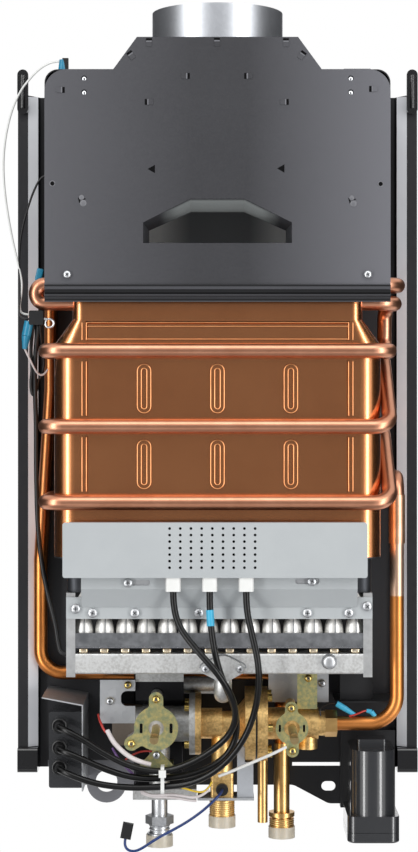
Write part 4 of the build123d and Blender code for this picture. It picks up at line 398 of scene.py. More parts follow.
# Bright zinc of rods, rivets and rolled rims.
BRIGHT_ZINC = metal("bright_zinc", "#d3d5d8", "#b4b6ba", 0.22, 6)
# Heads of the sheet-metal screws, dull zinc, and a darker zinc grey as painted shade in their cross recesses,
# along the venturis' seams and round the manifold's plug and flange.
SCREW_ZINC = smooth_metal("screw_zinc", "#c6c8ca", "#b2b4b7", 0.42, 6)
RECESS_SHADE = metal("recess", "#7c7e81", "#5f6164", 0.5, 3, relief_mm=0.0)
YELLOW_ZINC = metal("yellow_zinc", "#cbb26a", "#a88f4b", 0.27, 5)
# Sheath of the ignition leads.
LEAD_RUBBER = plain("lead_rubber", "#050505", "#090909", 0.3, 14, spread=0.02, relief_mm=0.0, specular=0.35)
# Rubber of the grommets, the loom and the switches.
BLACK_RUBBER = plain("black_rubber", "#0b0b0c", "#111112", 0.42, 14, spread=0.03, relief_mm=0.006)
# Dark grey moulded plastic of the igniter and the battery case.
GREY_PLASTIC = plain("grey_plastic", "#2a2b2d", "#252628", 0.26, 40, spread=0.01, grain_mm=0.8, relief_mm=0.0,
                     coat=1.0)
# White glazed or moulded insulators.
WHITE_PLASTIC = plain("white_plastic", "#dadad7", "#cdcdc9", 0.4, 10)
SWITCH_PLASTIC = plain("switch_plastic", "#a3a6ab", "#8f9297", 0.45, 12)
# Insulation of the wires.
WIRE_WHITE = plain("wire_white", "#cbc4c3", "#b9afae", 0.5, 6)
BLUE_WIRE = plain("blue_wire", "#12306a", "#10295b", 0.4, 8)
RED_WIRE = plain("red_wire", "#b3352d", "#9c2c26", 0.4, 8)
YELLOW_WIRE = plain("yellow_wire", "#d9b732", "#c4a32b", 0.4, 8)
PURPLE_WIRE = plain("purple_wire", "#6d4c86", "#5f4275", 0.4, 8)
# Sleeves of the left loom's terminals.
TEAL_SLEEVE = plain("teal_sleeve", "#1d7d9d", "#156582", 0.34, 4)
# Brighter sleeves of the marker and the joints at the right.
CYAN_SLEEVE = plain("cyan_sleeve", "#3aa6c9", "#2f8fb0", 0.38, 8)
CELL_JACKET = Finish("cell_jacket", "#4a4d52", "#3f4246", 0.3, 0.35, patch_mm=16)
FROSTED_CAP = FrostedPlastic("frosted_cap", "#e4dccb", "#d3c8b2", 0.0, 0.34, patch_mm=10)

FINISHED_NODES: dict[Finish, tuple[str, ...]] = {
    PAN_COAT: ("back_plate",),
    GLOSS_BLACK: ("cover_catches",),
    HOOD_PAINT: ("flue_hood_front",),
    HOOD_INSIDE: ("flue_hood_body",),
    COLLAR_ZINC: ("flue_collar",),
    SHELL_COPPER: ("combustion_shell",),
    ZINC_SHEET: ("chamber_brackets", "igniter_shield", "valve_mounting_plates"),
    COIL_COPPER: ("fin_core", "return_bends", "coil_pipe"),
    PIPE_COPPER: ("riser_pipe",),
    SLEEVE_COPPER: ("riser_sleeve",),
    HOT_COPPER: ("hot_pipe",),
    DARK_STEEL: ("burner_frame",),
    SIDE_STEEL: ("burner_side_plates",),
    SATIN_STEEL: ("burner_cross_plates", "electrode_cover", "electrode_bracket"),
    GREY_STEEL: ("burner_air_bar",),
    BURNER_STEEL: ("burner_bars",),
    CAST_ALUMINIUM: ("gas_manifold",),
    TURNED_BRASS: ("gas_nozzles", "union_nut", "hot_outlet_tube", "relief_tube"),
    SCREW_ZINC: ("sheet_screws",),
    WHITE_PLASTIC: ("electrode_boots", "cable_tie"),
    BRIGHT_ZINC: ("electrodes", "push_rod"),
    GREY_PLASTIC: ("igniter_box", "battery_case", "battery_lid"),
    VALVE_ALUMINIUM: ("gas_valve_body",),
    CHROMATE: ("gas_knob_plate", "water_knob_plate", "valve_brackets"),
    SPINDLE_BRASS: ("gas_spindle", "water_spindle"),
    SILVER_CAST: ("gas_inlet_nipple",),
    FROSTED_CAP: ("gas_dust_cap", "cold_dust_cap", "hot_dust_cap"),
    CAST_BRASS: ("water_valve_body", "water_valve_cover"),
    BLACK_RUBBER: ("diaphragm", "inlet_grommet", "thermal_switches", "wire_connector"),
    SWITCH_PLASTIC: ("flow_switch",),
    YELLOW_ZINC: ("valve_fasteners",),
    CELL_JACKET: ("battery_cells",),
    BLACK_COAT: ("battery_bracket", "cable_shelf"),
}


# How finely leads are drawn.
CORD_ROUNDNESS = 4
CORD_STEPS = 8
CORD_ORDER = 3


class Far(Enum):
    OBJECT = "object"
    CONNECTOR = "connector"


@dataclass(frozen=True)
class Cord:
    """One flexible lead, as the control points of its centreline in millimetres.

    A small wire that stands for no solid has no replaced name.
    """

    name: str
    replaced: str
    diameter_mm: float
    length_mm: float
    finish: Finish
    route: Points
    far: Far = Far.OBJECT
    stiffness: str = "medium"
    carried: tuple[str, ...] = ()

    def build(self) -> None:
        curve = bpy.data.curves.new(self.name, "CURVE")
        curve.dimensions = "3D"
        curve.bevel_depth = self.diameter_mm * MM / 2
        curve.bevel_resolution = CORD_ROUNDNESS
        curve.resolution_u = CORD_STEPS
        curve.use_fill_caps = True
        line = curve.splines.new("NURBS")
        line.points.add(len(self.route) - 1)
        for control, place in zip(line.points, self.route):
            control.co = (*(value * MM for value in place), 1.0)
        line.order_u = CORD_ORDER
        line.use_endpoint_u = True
        curve.materials.append(material_of(self.finish))
        piece = new_object(self.name, curve)
        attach(piece, HEATER)
        if self.replaced:
            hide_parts(self.replaced)


CORDS: tuple[Cord, ...] = (
    Cord("lead_left", "ignition_leads", 5.5, 323.0, LEAD_RUBBER, (
        (-36.4, -130, -437.2), (-36.4, -130, -450), (-31, -133, -468), (-15, -138.5, -487), (1, -141, -504),
        (12, -133, -523), (16, -121, -541), (11, -113, -557), (-3, -108, -571), (-22, -104, -583),
        (-46, -98, -592), (-72, -94, -588.5), (-96, -91, -577), (-114, -90, -565), (-128, -89.5, -558),
        (-134.5, -83, -557), (-134.5, -71, -557))),
    Cord("lead_middle", "ignition_leads", 5.5, 317.0, LEAD_RUBBER, (
        (-6.4, -130, -437.2), (-6.4, -130, -453), (-4.6, -132, -474), (-1, -131.5, -494), (5, -125, -513),
        (13, -114, -531), (17, -105, -550), (14, -101, -568), (3, -98, -583), (-20, -96, -594),
        (-46, -93, -598), (-72, -91, -598), (-97, -89, -590), (-114, -90, -582), (-128, -89.5, -576.5),
        (-134.5, -83, -575.5), (-134.5, -71, -575.5))),
    Cord("lead_right", "ignition_leads", 5.5, 320.0, LEAD_RUBBER, (
        (23.6, -130, -437.2), (23.6, -130, -452), (28.5, -134, -473), (34, -136, -497), (34, -130, -520),
        (30, -122, -541), (23, -118, -559), (12, -114, -576), (-3, -110, -590), (-23, -104, -600.5),
        (-46, -98, -604), (-72, -95, -605.5), (-98, -92, -603.5), (-116, -90.5, -598.5),
        (-128.5, -89, -593.5), (-134.5, -82.5, -592.5), (-134.5, -71, -592.5))),
    Cord("wire_flue_sensor", "sensor_wires", 1.8, 250.0, WHITE_PLASTIC, (
        (-130, -95, 4.0), (-137, -95, 4.0), (-145, -92, 1.4), (-152, -88, -3), (-159, -84, -9.5),
        (-165.5, -81, -17), (-170.5, -79, -26), (-175, -77, -37), (-178.5, -75, -50), (-181, -74, -65),
        (-182, -73, -81), (-181.3, -72, -98), (-179.3, -72, -115), (-176.5, -72, -132), (-173, -73, -149),
        (-169, -75, -165), (-165.5, -78, -179), (-165.3, -82.5, -190), (-167, -86, -200), (-165.5, -88, -208),
        (-158, -88, -208)), stiffness="limp"),
    Cord("wire_overheat_switch", "sensor_wires", 1.8, 141.0, BLACK_RUBBER, (
        (-142.8, -80, -90), (-148.5, -80, -90), (-155.5, -78, -102), (-162, -76, -121), (-165.8, -75, -135),
        (-168, -74, -150), (-168.5, -75, -165), (-167, -78, -180), (-166.4, -84, -193), (-167.4, -90, -204),
        (-165.5, -92, -212), (-158, -92, -212)), stiffness="limp"),
    Cord("harness_loom", "harness", 4.0, 295.0, BLACK_RUBBER, (
        (-152, -88, -217), (-152, -88, -227), (-154, -82, -243), (-155, -74, -260), (-155.2, -67, -280),
        (-155, -61, -304), (-155.4, -57, -332), (-155.2, -54, -362), (-154.2, -53, -392), (-151, -54, -421),
        (-145, -56, -449), (-138.5, -59, -473), (-136.5, -62, -487), (-133.5, -63, -497.5),
        (-125.5, -63, -497.5))),
    Cord("harness_sleeve", "harness", 4.2, 49.0, WIRE_WHITE, (
        (-93, -83, -559), (-89.5, -86.5, -566), (-83, -89, -573), (-75, -91, -579.5), (-65.5, -92, -584),
        (-56, -91.5, -586.5))),
    Cord("lead_blue", "blue_lead", 2.3, 115.0, BLUE_WIRE, (
        (3.9, -75, -611), (3.9, -81, -611), (0.5, -87.5, -614), (-5.5, -90, -619.5), (-14, -89.5, -627),
        (-25, -88, -635), (-36.5, -87, -641.8), (-47.5, -86, -647.6), (-56.5, -86, -653.2),
        (-63.5, -86, -658), (-70, -86, -660.8), (-76, -86, -659.5), (-78.6, -86, -654.5),
        (-77.6, -86, -649.5)), far=Far.CONNECTOR, carried=("wire_connector",)),
)


def wire(name: str, diameter_mm: float, finish: Finish, route: Points,
         stiffness: str = "limp") -> Cord:
    """Return a small wire that stands for no solid."""
    return Cord(name, "", diameter_mm, 0.0, finish, route, stiffness=stiffness)


SMALL_WIRES: tuple[Cord, ...] = (
    wire("wire_yellow", 1.7, YELLOW_WIRE, (
        (-46, -86, -606), (-40, -88.5, -604), (-29, -90, -606.3), (-14.8, -89, -610.8), (-8, -86, -608.4),
        (-4.6, -83, -602.5))),
    wire("wire_white_low", 2.4, WIRE_WHITE, (
        (-66, -87, -608), (-60, -90.5, -611.6), (-50, -92, -612.4), (-40, -92, -611.2), (-30, -91.5, -612.6),
        (-20, -90, -614.8), (-12, -88, -612.6), (-7, -86, -608.5))),
    wire("wire_white_back", 2.2, WIRE_WHITE, (
        (-64, -86, -611.4), (-56, -90, -614), (-45, -91, -613.8), (-34, -90.5, -614.6), (-24, -89, -617),
        (-18, -86.5, -617.8))),
    wire("wire_red", 1.7, RED_WIRE, (
        (-78, -78, -584.5), (-73.4, -80, -581), (-66.5, -81, -577.5), (-60, -80.5, -576.6),
        (-55.5, -78, -577.6))),
    wire("wire_crimson", 2.0, RED_WIRE, (
        (-101.5, -68, -548), (-100.4, -75, -550.6), (-98.6, -80, -553.5), (-96.4, -82.5, -558),
        (-94, -83, -561))),
    wire("wire_purple", 2.0, PURPLE_WIRE, (
        (-89, -75, -575.5), (-86.8, -79, -579), (-81, -83, -586), (-74, -85, -593.4), (-69.5, -86, -597))),
    wire("tie_tail", 2.6, WHITE_PLASTIC, (
        (1.0, -91, -596.2), (12, -93, -591.8), (19, -94, -588.5), (37.4, -94, -580.8), (50, -93, -575.4),
        (58, -92, -571.4)), stiffness="stiff"),
    wire("wire_joint_black", 1.5, BLACK_RUBBER, (
        (87.6, -75, -548), (86.4, -75, -544.2), (88.5, -72, -540.8), (93, -68, -538.8), (98.5, -63, -538.4),
        (102, -60, -539.8))),
    wire("wire_joint_red", 1.6, RED_WIRE, (
        (112.6, -61.5, -550.2), (116.5, -62, -549.4), (121, -62, -547.6), (124.5, -61.5, -546),
        (127.6, -60.5, -545.6))),
    wire("wire_loom_white", 1.7, WIRE_WHITE, (
        (-162, -92, -237), (-159.5, -88, -243), (-156, -82, -251), (-152.5, -77, -258), (-147.5, -75, -259.5),
        (-144, -73, -254))),
    wire("wire_loom_front", 3.0, BLACK_RUBBER, (
        (-155, -90, -217), (-156.5, -87, -227), (-158, -80, -240), (-157, -74, -254), (-159, -70, -266),
        (-157.6, -68, -277), (-154, -68, -273), (-152.6, -70, -262))),
    wire("wire_loom_back", 2.6, BLACK_RUBBER, (
        (-149.5, -90, -217), (-149, -84, -230), (-147, -78, -243), (-147.6, -73, -253), (-151, -71, -262))),
)


FRONT = (0.0, -1.0, 0.0)
UP = (0.0, 0.0, 1.0)
SIDES = (-1, 1)

# Fineness of round shapes, and the angle from which an edge stays sharp.
ROUND_SIDES = 24
BALL_RINGS = 12
WIRE_SIDES = 8
RING_STEPS = 32
LATHE_STEPS = 28
EDGE_STEPS = 3
SHARP = math.radians(40)


class Mould:
    """Geometry gathered into one mesh from simple solids, with every size in millimetres."""

    def __init__(self, name: str, finish: Finish) -> None:
        """Start an empty piece.

        Args:
            name: Name of the piece.
            finish: Its surface.
        """
        self.name = name
        self.finish = finish
        self.mesh = bmesh.new()

    def rod(self, start: Point, end: Point, radius: float, tip: Optional[float] = None,
            sides: int = ROUND_SIDES) -> None:
        """Add a bar, cone or prism between two points.

        Args:
            start: Middle of the first end.
            end: Middle of the other end.
            radius: Radius at the first end.
            tip: Radius at the other end, the same where it isn't given.
            sides: Number of sides.
        """
        first, last = Vector(start), Vector(end)
        turn = (last - first).to_track_quat("Z", "X").to_matrix().to_4x4()
        other = radius if tip is None else tip
        bmesh.ops.create_cone(
            self.mesh, cap_ends=True, segments=sides, radius1=radius * MM, radius2=other * MM,
            depth=(last - first).length * MM, matrix=Matrix.Translation((first + last) / 2 * MM) @ turn)

    def block(self, middle: Point, size: Point, turn: float = 0.0, edge: float = 0.0) -> None:
        """Add a box, turned about the front-to-back axis, with rounded edges if asked.

        Args:
            middle: Its middle.
            size: Its width, depth and height.
            turn: Turn in degrees.
            edge: Radius of its edges.
        """
        place = Matrix.Translation(Vector(middle) * MM) @ Matrix.Rotation(math.radians(turn), 4, "Y")
        made = bmesh.ops.create_cube(self.mesh, size=MM, matrix=place @ Matrix.Diagonal((*size, 1.0)))
        if edge:
            edges = list({line for corner in made["verts"] for line in corner.link_edges})
            bmesh.ops.bevel(self.mesh, geom=edges, offset=edge * MM, offset_type="OFFSET", affect="EDGES",
                            segments=EDGE_STEPS, profile=0.5, material=-1)

    def dome(self, foot: Point, radius: float, rise: float) -> None:
        """Add a flattened ball whose front half stands on a face.

        Args:
            foot: Middle of the ball, on the face.
            radius: Radius along the face.
            rise: Height over the face.
        """
        turn = Vector(FRONT).to_track_quat("Z", "X").to_matrix().to_4x4()
        shape = Matrix.Diagonal((radius * MM, radius * MM, rise * MM, 1.0))
        bmesh.ops.create_uvsphere(self.mesh, u_segments=ROUND_SIDES, v_segments=BALL_RINGS, radius=1.0,
                                  matrix=Matrix.Translation(Vector(foot) * MM) @ turn @ shape)

    def ring(self, centre: Point, radius: float, thick: float, along: Point = UP) -> None:
        """Add a round ring.

        Args:
            centre: Its middle.
            radius: Radius of the wire's middle line.
            thick: Radius of the wire.
            along: Its axis.
        """
        axis = Vector(along).normalized()
        side = axis.orthogonal().normalized()
        turn = axis.cross(side).to_track_quat("Z", "X").to_matrix().to_4x4()
        start = Matrix.Translation((Vector(centre) + side * radius) * MM) @ turn
        made = bmesh.ops.create_circle(self.mesh, cap_ends=False, segments=WIRE_SIDES, radius=thick * MM,
                                       matrix=start)
        lines = list({line for corner in made["verts"] for line in corner.link_edges})
        self.spin(made["verts"] + lines, Vector(centre), axis, RING_STEPS)

    def spin(self, section: list, centre: Vector, axis: Point, steps: int) -> None:
        """Turn a section once round an axis through a point."""
        bmesh.ops.spin(self.mesh, geom=section, cent=centre * MM, axis=axis, angle=math.tau, steps=steps,
                       use_merge=True, use_duplicate=False)

    def path(self, points: Iterable[Point], radius: float) -> None:
        """Add a thin round line through points.

        Args:
            points: Its corners in order.
            radius: Radius of the line.
        """
        route = list(points)
        for start, end in zip(route, route[1:]):
            self.rod(start, end, radius, sides=WIRE_SIDES)

    def prism(self, outline: Iterable[Point], bottom: float, top: float) -> None:
        """Add an upright prism.

        Args:
            outline: Corners of its plan in X and Y.
            bottom: Level of its foot.
            top: Level of its head.
        """
        foot = self.mesh.faces.new([self.mesh.verts.new(Vector((x, y, bottom)) * MM) for x, y in outline])
        raised = bmesh.ops.extrude_face_region(self.mesh, geom=[foot])
        corners = [item for item in raised["geom"] if isinstance(item, bmesh.types.BMVert)]
        bmesh.ops.translate(self.mesh, verts=corners, vec=(0.0, 0.0, (top - bottom) * MM))

    def lathe(self, x: float, y: float, profile: Iterable[Point]) -> None:
        """Add a round body turned about an upright axis.

        Args:
            x: The axis's place in X.
            y: The axis's place in Y.
            profile: Radius and level of the corners of its half section, in order round it.
        """
        corners = [self.mesh.verts.new(Vector((x + radius, y, level)) * MM) for radius, level in profile]
        lines = [self.mesh.edges.new(pair) for pair in zip(corners, corners[1:] + corners[:1])]
        self.spin(corners + lines, Vector((x, y, 0.0)), UP, LATHE_STEPS)

    def cast(self) -> None:
        """Turn the gathered solids into a piece that rides on the heater."""
        bmesh.ops.recalc_face_normals(self.mesh, faces=self.mesh.faces)
        for face in self.mesh.faces:
            face.smooth = True
        for line in self.mesh.edges:
            line.smooth = line.calc_face_angle(0.0) < SHARP
        data = bpy.data.meshes.new(self.name)
        self.mesh.to_mesh(data)
        self.mesh.free()
        data.materials.append(material_of(self.finish))
        piece = new_object(self.name, data)
        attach(piece, HEATER)


@dataclass(frozen=True)
class ScrewRow:
    """Domed screw heads of one size and finish, by the middles of their seats in millimetres."""

    name: str
    finish: Finish
    radius: float
    places: Points
    rise: float = 1.5
    recess: float = 0.9
    proud: float = 0.06
    twist: float = 23.0

    def build(self) -> None:
        """Put a dome on each seat, with a cross of painted shade for its recess that is turned further from
        screw to screw.
        """
        heads = Mould(self.name, self.finish)
        recesses = Mould(self.name + "_recess", RECESS_SHADE)
        size = (self.radius, self.rise + self.proud, self.recess)
        for index, (x, y, z) in enumerate(self.places):
            heads.dome((x, y, z), self.radius, self.rise)
            for quarter in (0.0, 90.0):
                recesses.block((x, y - self.rise / 2, z), size, quarter + self.twist * index)
        heads.cast()
        recesses.cast()


SCREW_ROWS: tuple[ScrewRow, ...] = (
    ScrewRow("burner_screw_domes", SCREW_ZINC, 4.0, (
        (-117.5, -117.2, -453.0), (-103.5, -117.2, -456.5), (-68.5, -117.2, -456.5), (-15.5, -117.2, -456.5),
        (74.5, -117.2, -456.5), (108.9, -117.2, -456.5), (124.1, -117.2, -451.0))),
    ScrewRow("bracket_screw_domes", SCREW_ZINC, 3.8, ((-73.8, -127.0, -430.6), (77.9, -127.0, -429.4))),
    ScrewRow("sheet_screw_domes", SCREW_ZINC, 3.2, (
        (-9.9, -122.0, -502.5), (18.9, -122.0, -502.5), (-124.0, -126.0, -176.5), (124.0, -126.0, -176.5),
        (-91.8, -66.0, -537.0), (90.3, -44.5, -524.6), (-51.7, -82.0, -580.2))),
    ScrewRow("yellow_screw_domes", YELLOW_ZINC, 3.2, (
        (-76.4, -66.0, -523.2), (77.4, -68.0, -517.0), (-51.7, -90.5, -531.9), (-72.5, -90.5, -569.3),
        (62.2, -90.5, -539.5), (63.2, -90.5, -575.5))),
)


@dataclass(frozen=True)
class HoodFront:
    """Pressed and punched marks on the front of the draught hood, drawn with painted highlight on their rims
    and domes and painted shadow in their openings, the painted light and shade lines along its ribs, and its
    rivets.

    A lance is a tongue with an opening beside it: its X, its Z and the opening's turn in degrees, which is 0
    where the opening is on the right and goes round clockwise. A rib line has its Y, its Z and its height.
    """

    face: float = -124.0
    lances: Points = (
        (-56.5, 13.7, -90), (-0.4, 14.1, -90), (56.5, 13.7, -90), (-70.5, 3.4, -125), (68.9, 3.4, -55),
        (-27.6, -12.7, 0), (26.8, -12.7, 180), (-130.8, -24.2, 0), (129.9, -23.4, 180), (-55.2, -34.1, 180),
        (54.0, -34.1, 0))
    tongue: Point = (4.4, 1.0, 4.4)
    # The lip is the tongue's rim in painted highlight; the opening is a block of painted shadow.
    lip: Point = (1.1, 1.3, 4.6)
    opening: Point = (2.0, 0.5, 4.8)
    sunk: float = 0.3
    # Triangular marks and hole plugs are painted shadow; the rims round the holes are painted highlight.
    peaks: Points = ((-53.6, -89.4), (53.2, -89.0))
    peak_radius: float = 4.0
    peak_proud: float = 0.1
    holes: Points = ((-136.2, -101.4), (134.6, -101.8))
    hole_radius: float = 1.7
    hole_proud: float = 0.2
    rim_radius: float = 2.1
    rim_thick: float = 0.35
    # Each dimple is drawn as domes of painted highlight beside slits of painted shadow.
    dimples: Points = ((-111.6, -115.6), (111.4, -116.0))
    dimple_rise: float = 0.9
    dimple_domes: Points = ((-0.6, 2.6, 2.3), (0.8, -2.0, 2.9))
    dimple_slits: tuple[tuple[float, float, Point, float], ...] = (
        (-2.3, 0.4, (1.2, 0.7, 4.4), -15.0), (1.0, 1.1, (3.6, 0.8, 0.8), -20.0))
    rib_length: float = 285.0
    rib_thick: float = 0.4
    # Lines of painted highlight, painted shade and painted shadow along the ribs.
    rib_highlights: Points = ((-125.6, -187.6, 2.2), (-124.1, -198.6, 0.8))
    rib_shades: Points = ((-125.7, -185.4, 1.2), (-125.6, -190.2, 2.4), (-124.1, -197.1, 1.4))
    rib_shadows: Points = ((-125.6, -192.0, 1.3),)
    rivet_x: float = 110.0
    rivet_levels: Levels = (-15.0, -26.5)
    rivet_sunk: float = 0.4
    rivet_radius: float = 1.9
    rivet_rise: float = 0.9
    edge_middle: Point = (115.5, -119.0, -6.5)
    edge_size: Point = (22.0, 3.0, 0.8)

    def press(self) -> None:
        """Press the tongues and dimples with painted highlight on their rims and domes, and paint shadow into
        the openings, the triangular marks, the holes and the dimple slits.
        """
        tongues = Mould("hood_tongues", HOOD_PAINT)
        lip_highlights = Mould("hood_lip_highlights", TONGUE_HIGHLIGHT)
        opening_shadows = Mould("hood_opening_shadows", SHADOW)
        beside = (self.tongue[0] + self.lip[0] + self.opening[0]) / 2
        marks = ((tongues, self.tongue, 0.0), (lip_highlights, self.lip, self.tongue[0] / 2),
                 (opening_shadows, self.opening, beside))
        for x, z, turn in self.lances:
            across, down = math.cos(math.radians(turn)), math.sin(math.radians(turn))
            for mould, size, reach in marks:
                mould.block((x + reach * across, self.face, z - reach * down), size, turn)
        back = self.face + self.sunk
        for x, z in self.peaks:
            opening_shadows.rod((x, back, z), (x, self.face - self.peak_proud, z), self.peak_radius, sides=3)
        for x, z in self.holes:
            opening_shadows.rod((x, back, z), (x, self.face - self.hole_proud, z), self.hole_radius)
            lip_highlights.ring((x, self.face, z), self.rim_radius, self.rim_thick, FRONT)
        for x, z in self.dimples:
            for right, up, radius in self.dimple_domes:
                lip_highlights.dome((x + right, self.face, z + up), radius, self.dimple_rise)
            for right, up, size, turn in self.dimple_slits:
                opening_shadows.block((x + right, self.face, z + up), size, turn)
        for mould in (tongues, lip_highlights, opening_shadows):
            mould.cast()

    def rib(self) -> None:
        """Draw the lines of painted highlight, painted shade and painted shadow along the ribs."""
        for name, finish, lines in (("hood_rib_highlights", RIB_HIGHLIGHT, self.rib_highlights),
                                    ("hood_rib_shades", RIB_SHADE, self.rib_shades),
                                    ("hood_rib_shadows", SHADOW, self.rib_shadows)):
            ribs = Mould(name, finish)
            for y, z, height in lines:
                ribs.block((0.0, y, z), (self.rib_length, self.rib_thick, height))
            ribs.cast()

    def rivet(self) -> None:
        """Set the rivets and the bright edge by the upper right corner."""
        rivets = Mould("hood_rivets", BRIGHT_ZINC)
        for side in SIDES:
            for z in self.rivet_levels:
                seat = (side * self.rivet_x, self.face + self.rivet_sunk, z)
                rivets.dome(seat, self.rivet_radius, self.rivet_rise)
        rivets.block(self.edge_middle, self.edge_size)
        rivets.cast()

    def build(self) -> None:
        """Work the sheet, its ribs and its rivets."""
        self.press()
        self.rib()
        self.rivet()


@dataclass(frozen=True)
class ShellBeads:
    """Raised edges of the six upright beads and of the frame round them on the copper shell, in a paler
    copper that partly paints their highlight.
    """

    columns: Levels = (-61.0, 0.0, 61.0)
    rows: Levels = (-270.5, -333.5)
    half_widths: Levels = (5.6, 2.3)
    straight: float = 29.3
    steps: int = 12
    crest: float = -111.2
    edge: float = 0.38
    frame_sides: Levels = (109.0, 112.6)
    frame_runs: Points = ((-215.6, -230.0), (-248.0, -293.0), (-311.0, -356.0))
    frame_levels: Levels = (-215.6, -218.8, -229.4)

    def outline(self, x: float, z: float, half: float) -> Points:
        """Return the closed outline of one bead.

        Args:
            x: Its middle across.
            z: Its middle in height.
            half: Half of its width.

        Returns:
            Points on two half circles, with the first one repeated.
        """
        points = []
        for end in (1, -1):
            for step in range(self.steps + 1):
                turn = step * math.pi / self.steps
                up = self.straight / 2 + half * math.sin(turn)
                points.append((x + end * half * math.cos(turn), self.crest, z + end * up))
        return [*points, points[0]]

    def build(self) -> None:
        """Draw the edges of the beads and the frame."""
        beads = Mould("shell_bead_edge_highlights", BEAD_HIGHLIGHT_COPPER)
        for x in self.columns:
            for z in self.rows:
                for half in self.half_widths:
                    beads.path(self.outline(x, z, half), self.edge)
        for side in SIDES:
            for x in self.frame_sides:
                for top, bottom in self.frame_runs:
                    beads.path([(side * x, self.crest, top), (side * x, self.crest, bottom)], self.edge)
        half = self.frame_sides[0]
        for level in self.frame_levels:
            beads.path([(-half, self.crest, level), (half, self.crest, level)], self.edge)
        beads.cast()


@dataclass(frozen=True)
class BurnerFront:
    """Bells and rims of the fourteen venturis with painted shade along their seams, nozzle bodies with a
    painted highlight line above them, and the manifold's plug with painted shadow lines round it and its
    flange.
    """

    first: float = -111.6
    pitch: float = 17.4
    count: int = 14
    depth: float = -103.0
    rim_level: float = -477.3
    rim_radius: float = 7.5
    rim_roll: float = 0.7
    bell: Points = (
        (5.0, -461.8), (6.3, -464.2), (7.3, -467.2), (7.9, -470.5), (8.2, -474.0), (8.0, -477.0))
    skin: float = 0.5
    # Painted shade along one side of each bell, where its seam is.
    seam_offset: float = 0.8
    seam_radius: float = 0.45
    nozzle_place: Point = (-109.0, -488.3)
    nozzle_size: Point = (7.4, 4.0, 4.2)
    nozzle_edge: float = 1.3
    # A thin bright zinc line above the nozzles, a painted highlight.
    glint_middle: Point = (1.5, -113.5, -485.3)
    glint_size: Point = (238.0, 0.6, 1.2)
    plug_face: Point = (92.7, -119.8, -497.0)
    plug_radius: float = 5.1
    plug_rise: float = 1.6
    # Painted shadow lines round the plug's seat and round the manifold's flange.
    seat_middle: Point = (92.7, -114.1, -497.0)
    seat_radius: float = 5.8
    seat_thick: float = 0.7
    flange_middle: Point = (4.5, -114.2, -502.5)
    flange_radius: float = 11.2
    flange_thick: float = 0.6
    flange_steps: int = 24
    ear_reach: float = 14.4
    ear_radius: float = 4.7

    def flange_edge(self) -> Points:
        """Return the edge of the manifold's flange on the rail, from right to left over the top."""
        x, y, z = self.flange_middle
        ears = [(side * self.ear_reach, self.ear_radius) for side in SIDES]
        rounds = [(0.0, self.flange_radius), *ears]
        edge = []
        for step in range(self.flange_steps + 1):
            turn = math.pi * step / self.flange_steps
            across, up = math.cos(turn), math.sin(turn)
            offset, radius = max(rounds, key=lambda item: item[0] * across + item[1])
            edge.append((x + offset + radius * across, y, z + radius * up))
        return edge

    def build(self) -> None:
        """Turn the bells, roll their rims, paint shade along the seams, set the nozzle bodies under them with
        the painted highlight line above, and give the manifold its plug face and painted shadow lines.
        """
        rims = Mould("venturi_rims_and_glint", BRIGHT_ZINC)
        bells = Mould("venturi_bells", BURNER_STEEL)
        seams = Mould("venturi_seam_shade", RECESS_SHADE)
        nozzles = Mould("nozzle_bodies", NOZZLE_BRASS)
        plug = Mould("manifold_plug_face", SCREW_ZINC)
        seats = Mould("manifold_seat_shadows", RECESS_SHADE)
        inner = tuple((radius - self.skin, level) for radius, level in reversed(self.bell))
        for index in range(self.count):
            x = self.first + index * self.pitch
            rims.ring((x, self.depth, self.rim_level), self.rim_radius, self.rim_roll)
            bells.lathe(x, self.depth, self.bell + inner)
            line = ((x + self.seam_offset, self.depth - radius, level) for radius, level in self.bell)
            seams.path(line, self.seam_radius)
            nozzles.block((x, *self.nozzle_place), self.nozzle_size, edge=self.nozzle_edge)
        rims.block(self.glint_middle, self.glint_size)
        plug.dome(self.plug_face, self.plug_radius, self.plug_rise)
        seats.ring(self.seat_middle, self.seat_radius, self.seat_thick, FRONT)
        seats.path(self.flange_edge(), self.flange_thick)
        for mould in (rims, bells, seams, nozzles, plug, seats):
            mould.cast()


@dataclass(frozen=True)
class Thread:
    """Ridges of an outside thread round an upright axis, between two levels."""

    axis: Point
    radius: float
    top: float
    bottom: float
    pitch: float = 1.81
    ridge: float = 0.5

    def cut(self, mould: Mould) -> None:
        """Add the ridges to a piece."""
        for index in range(int((self.top - self.bottom) / self.pitch) + 1):
            mould.ring((*self.axis, self.top - index * self.pitch), self.radius, self.ridge)


@dataclass(frozen=True)
class Connections:
    """Threads that show above the dust caps."""

    brass: tuple[Thread, ...] = (
        Thread((3.9, -60.0), 10.4, -621.2, -634.0), Thread((55.8, -30.0), 10.4, -643.9, -649.9))
    steel: tuple[Thread, ...] = (Thread((-49.7, -55.0), 8.4, -644.4, -650.6, pitch=3.0, ridge=0.7),)

    def build(self) -> None:
        """Make the ridges of the brass and the steel connections."""
        for name, finish, threads in (("brass_threads", TURNED_BRASS, self.brass),
                                      ("gas_thread", BRIGHT_ZINC, self.steel)):
            ridges = Mould(name, finish)
            for thread in threads:
                thread.cut(ridges)
            ridges.cast()


@dataclass(frozen=True)
class KnobPlates:
    """Painted shadow in the slits beside each spindle: the plate's middle, their distance from it and size.
    """

    level: float = -556.5
    depth: float = -88.0
    gas: tuple[float, float, Point] = (-51.7, 12.6, (2.5, 0.3, 8.3))
    water: tuple[float, float, Point] = (62.7, 10.2, (1.9, 0.3, 6.2))

    def build(self) -> None:
        """Paint shadow into the slits."""
        slits = Mould("knob_plate_slit_shadows", SHADOW)
        for middle, offset, size in (self.gas, self.water):
            for side in SIDES:
                slits.block((middle + side * offset, self.depth, self.level), size)
        slits.cast()


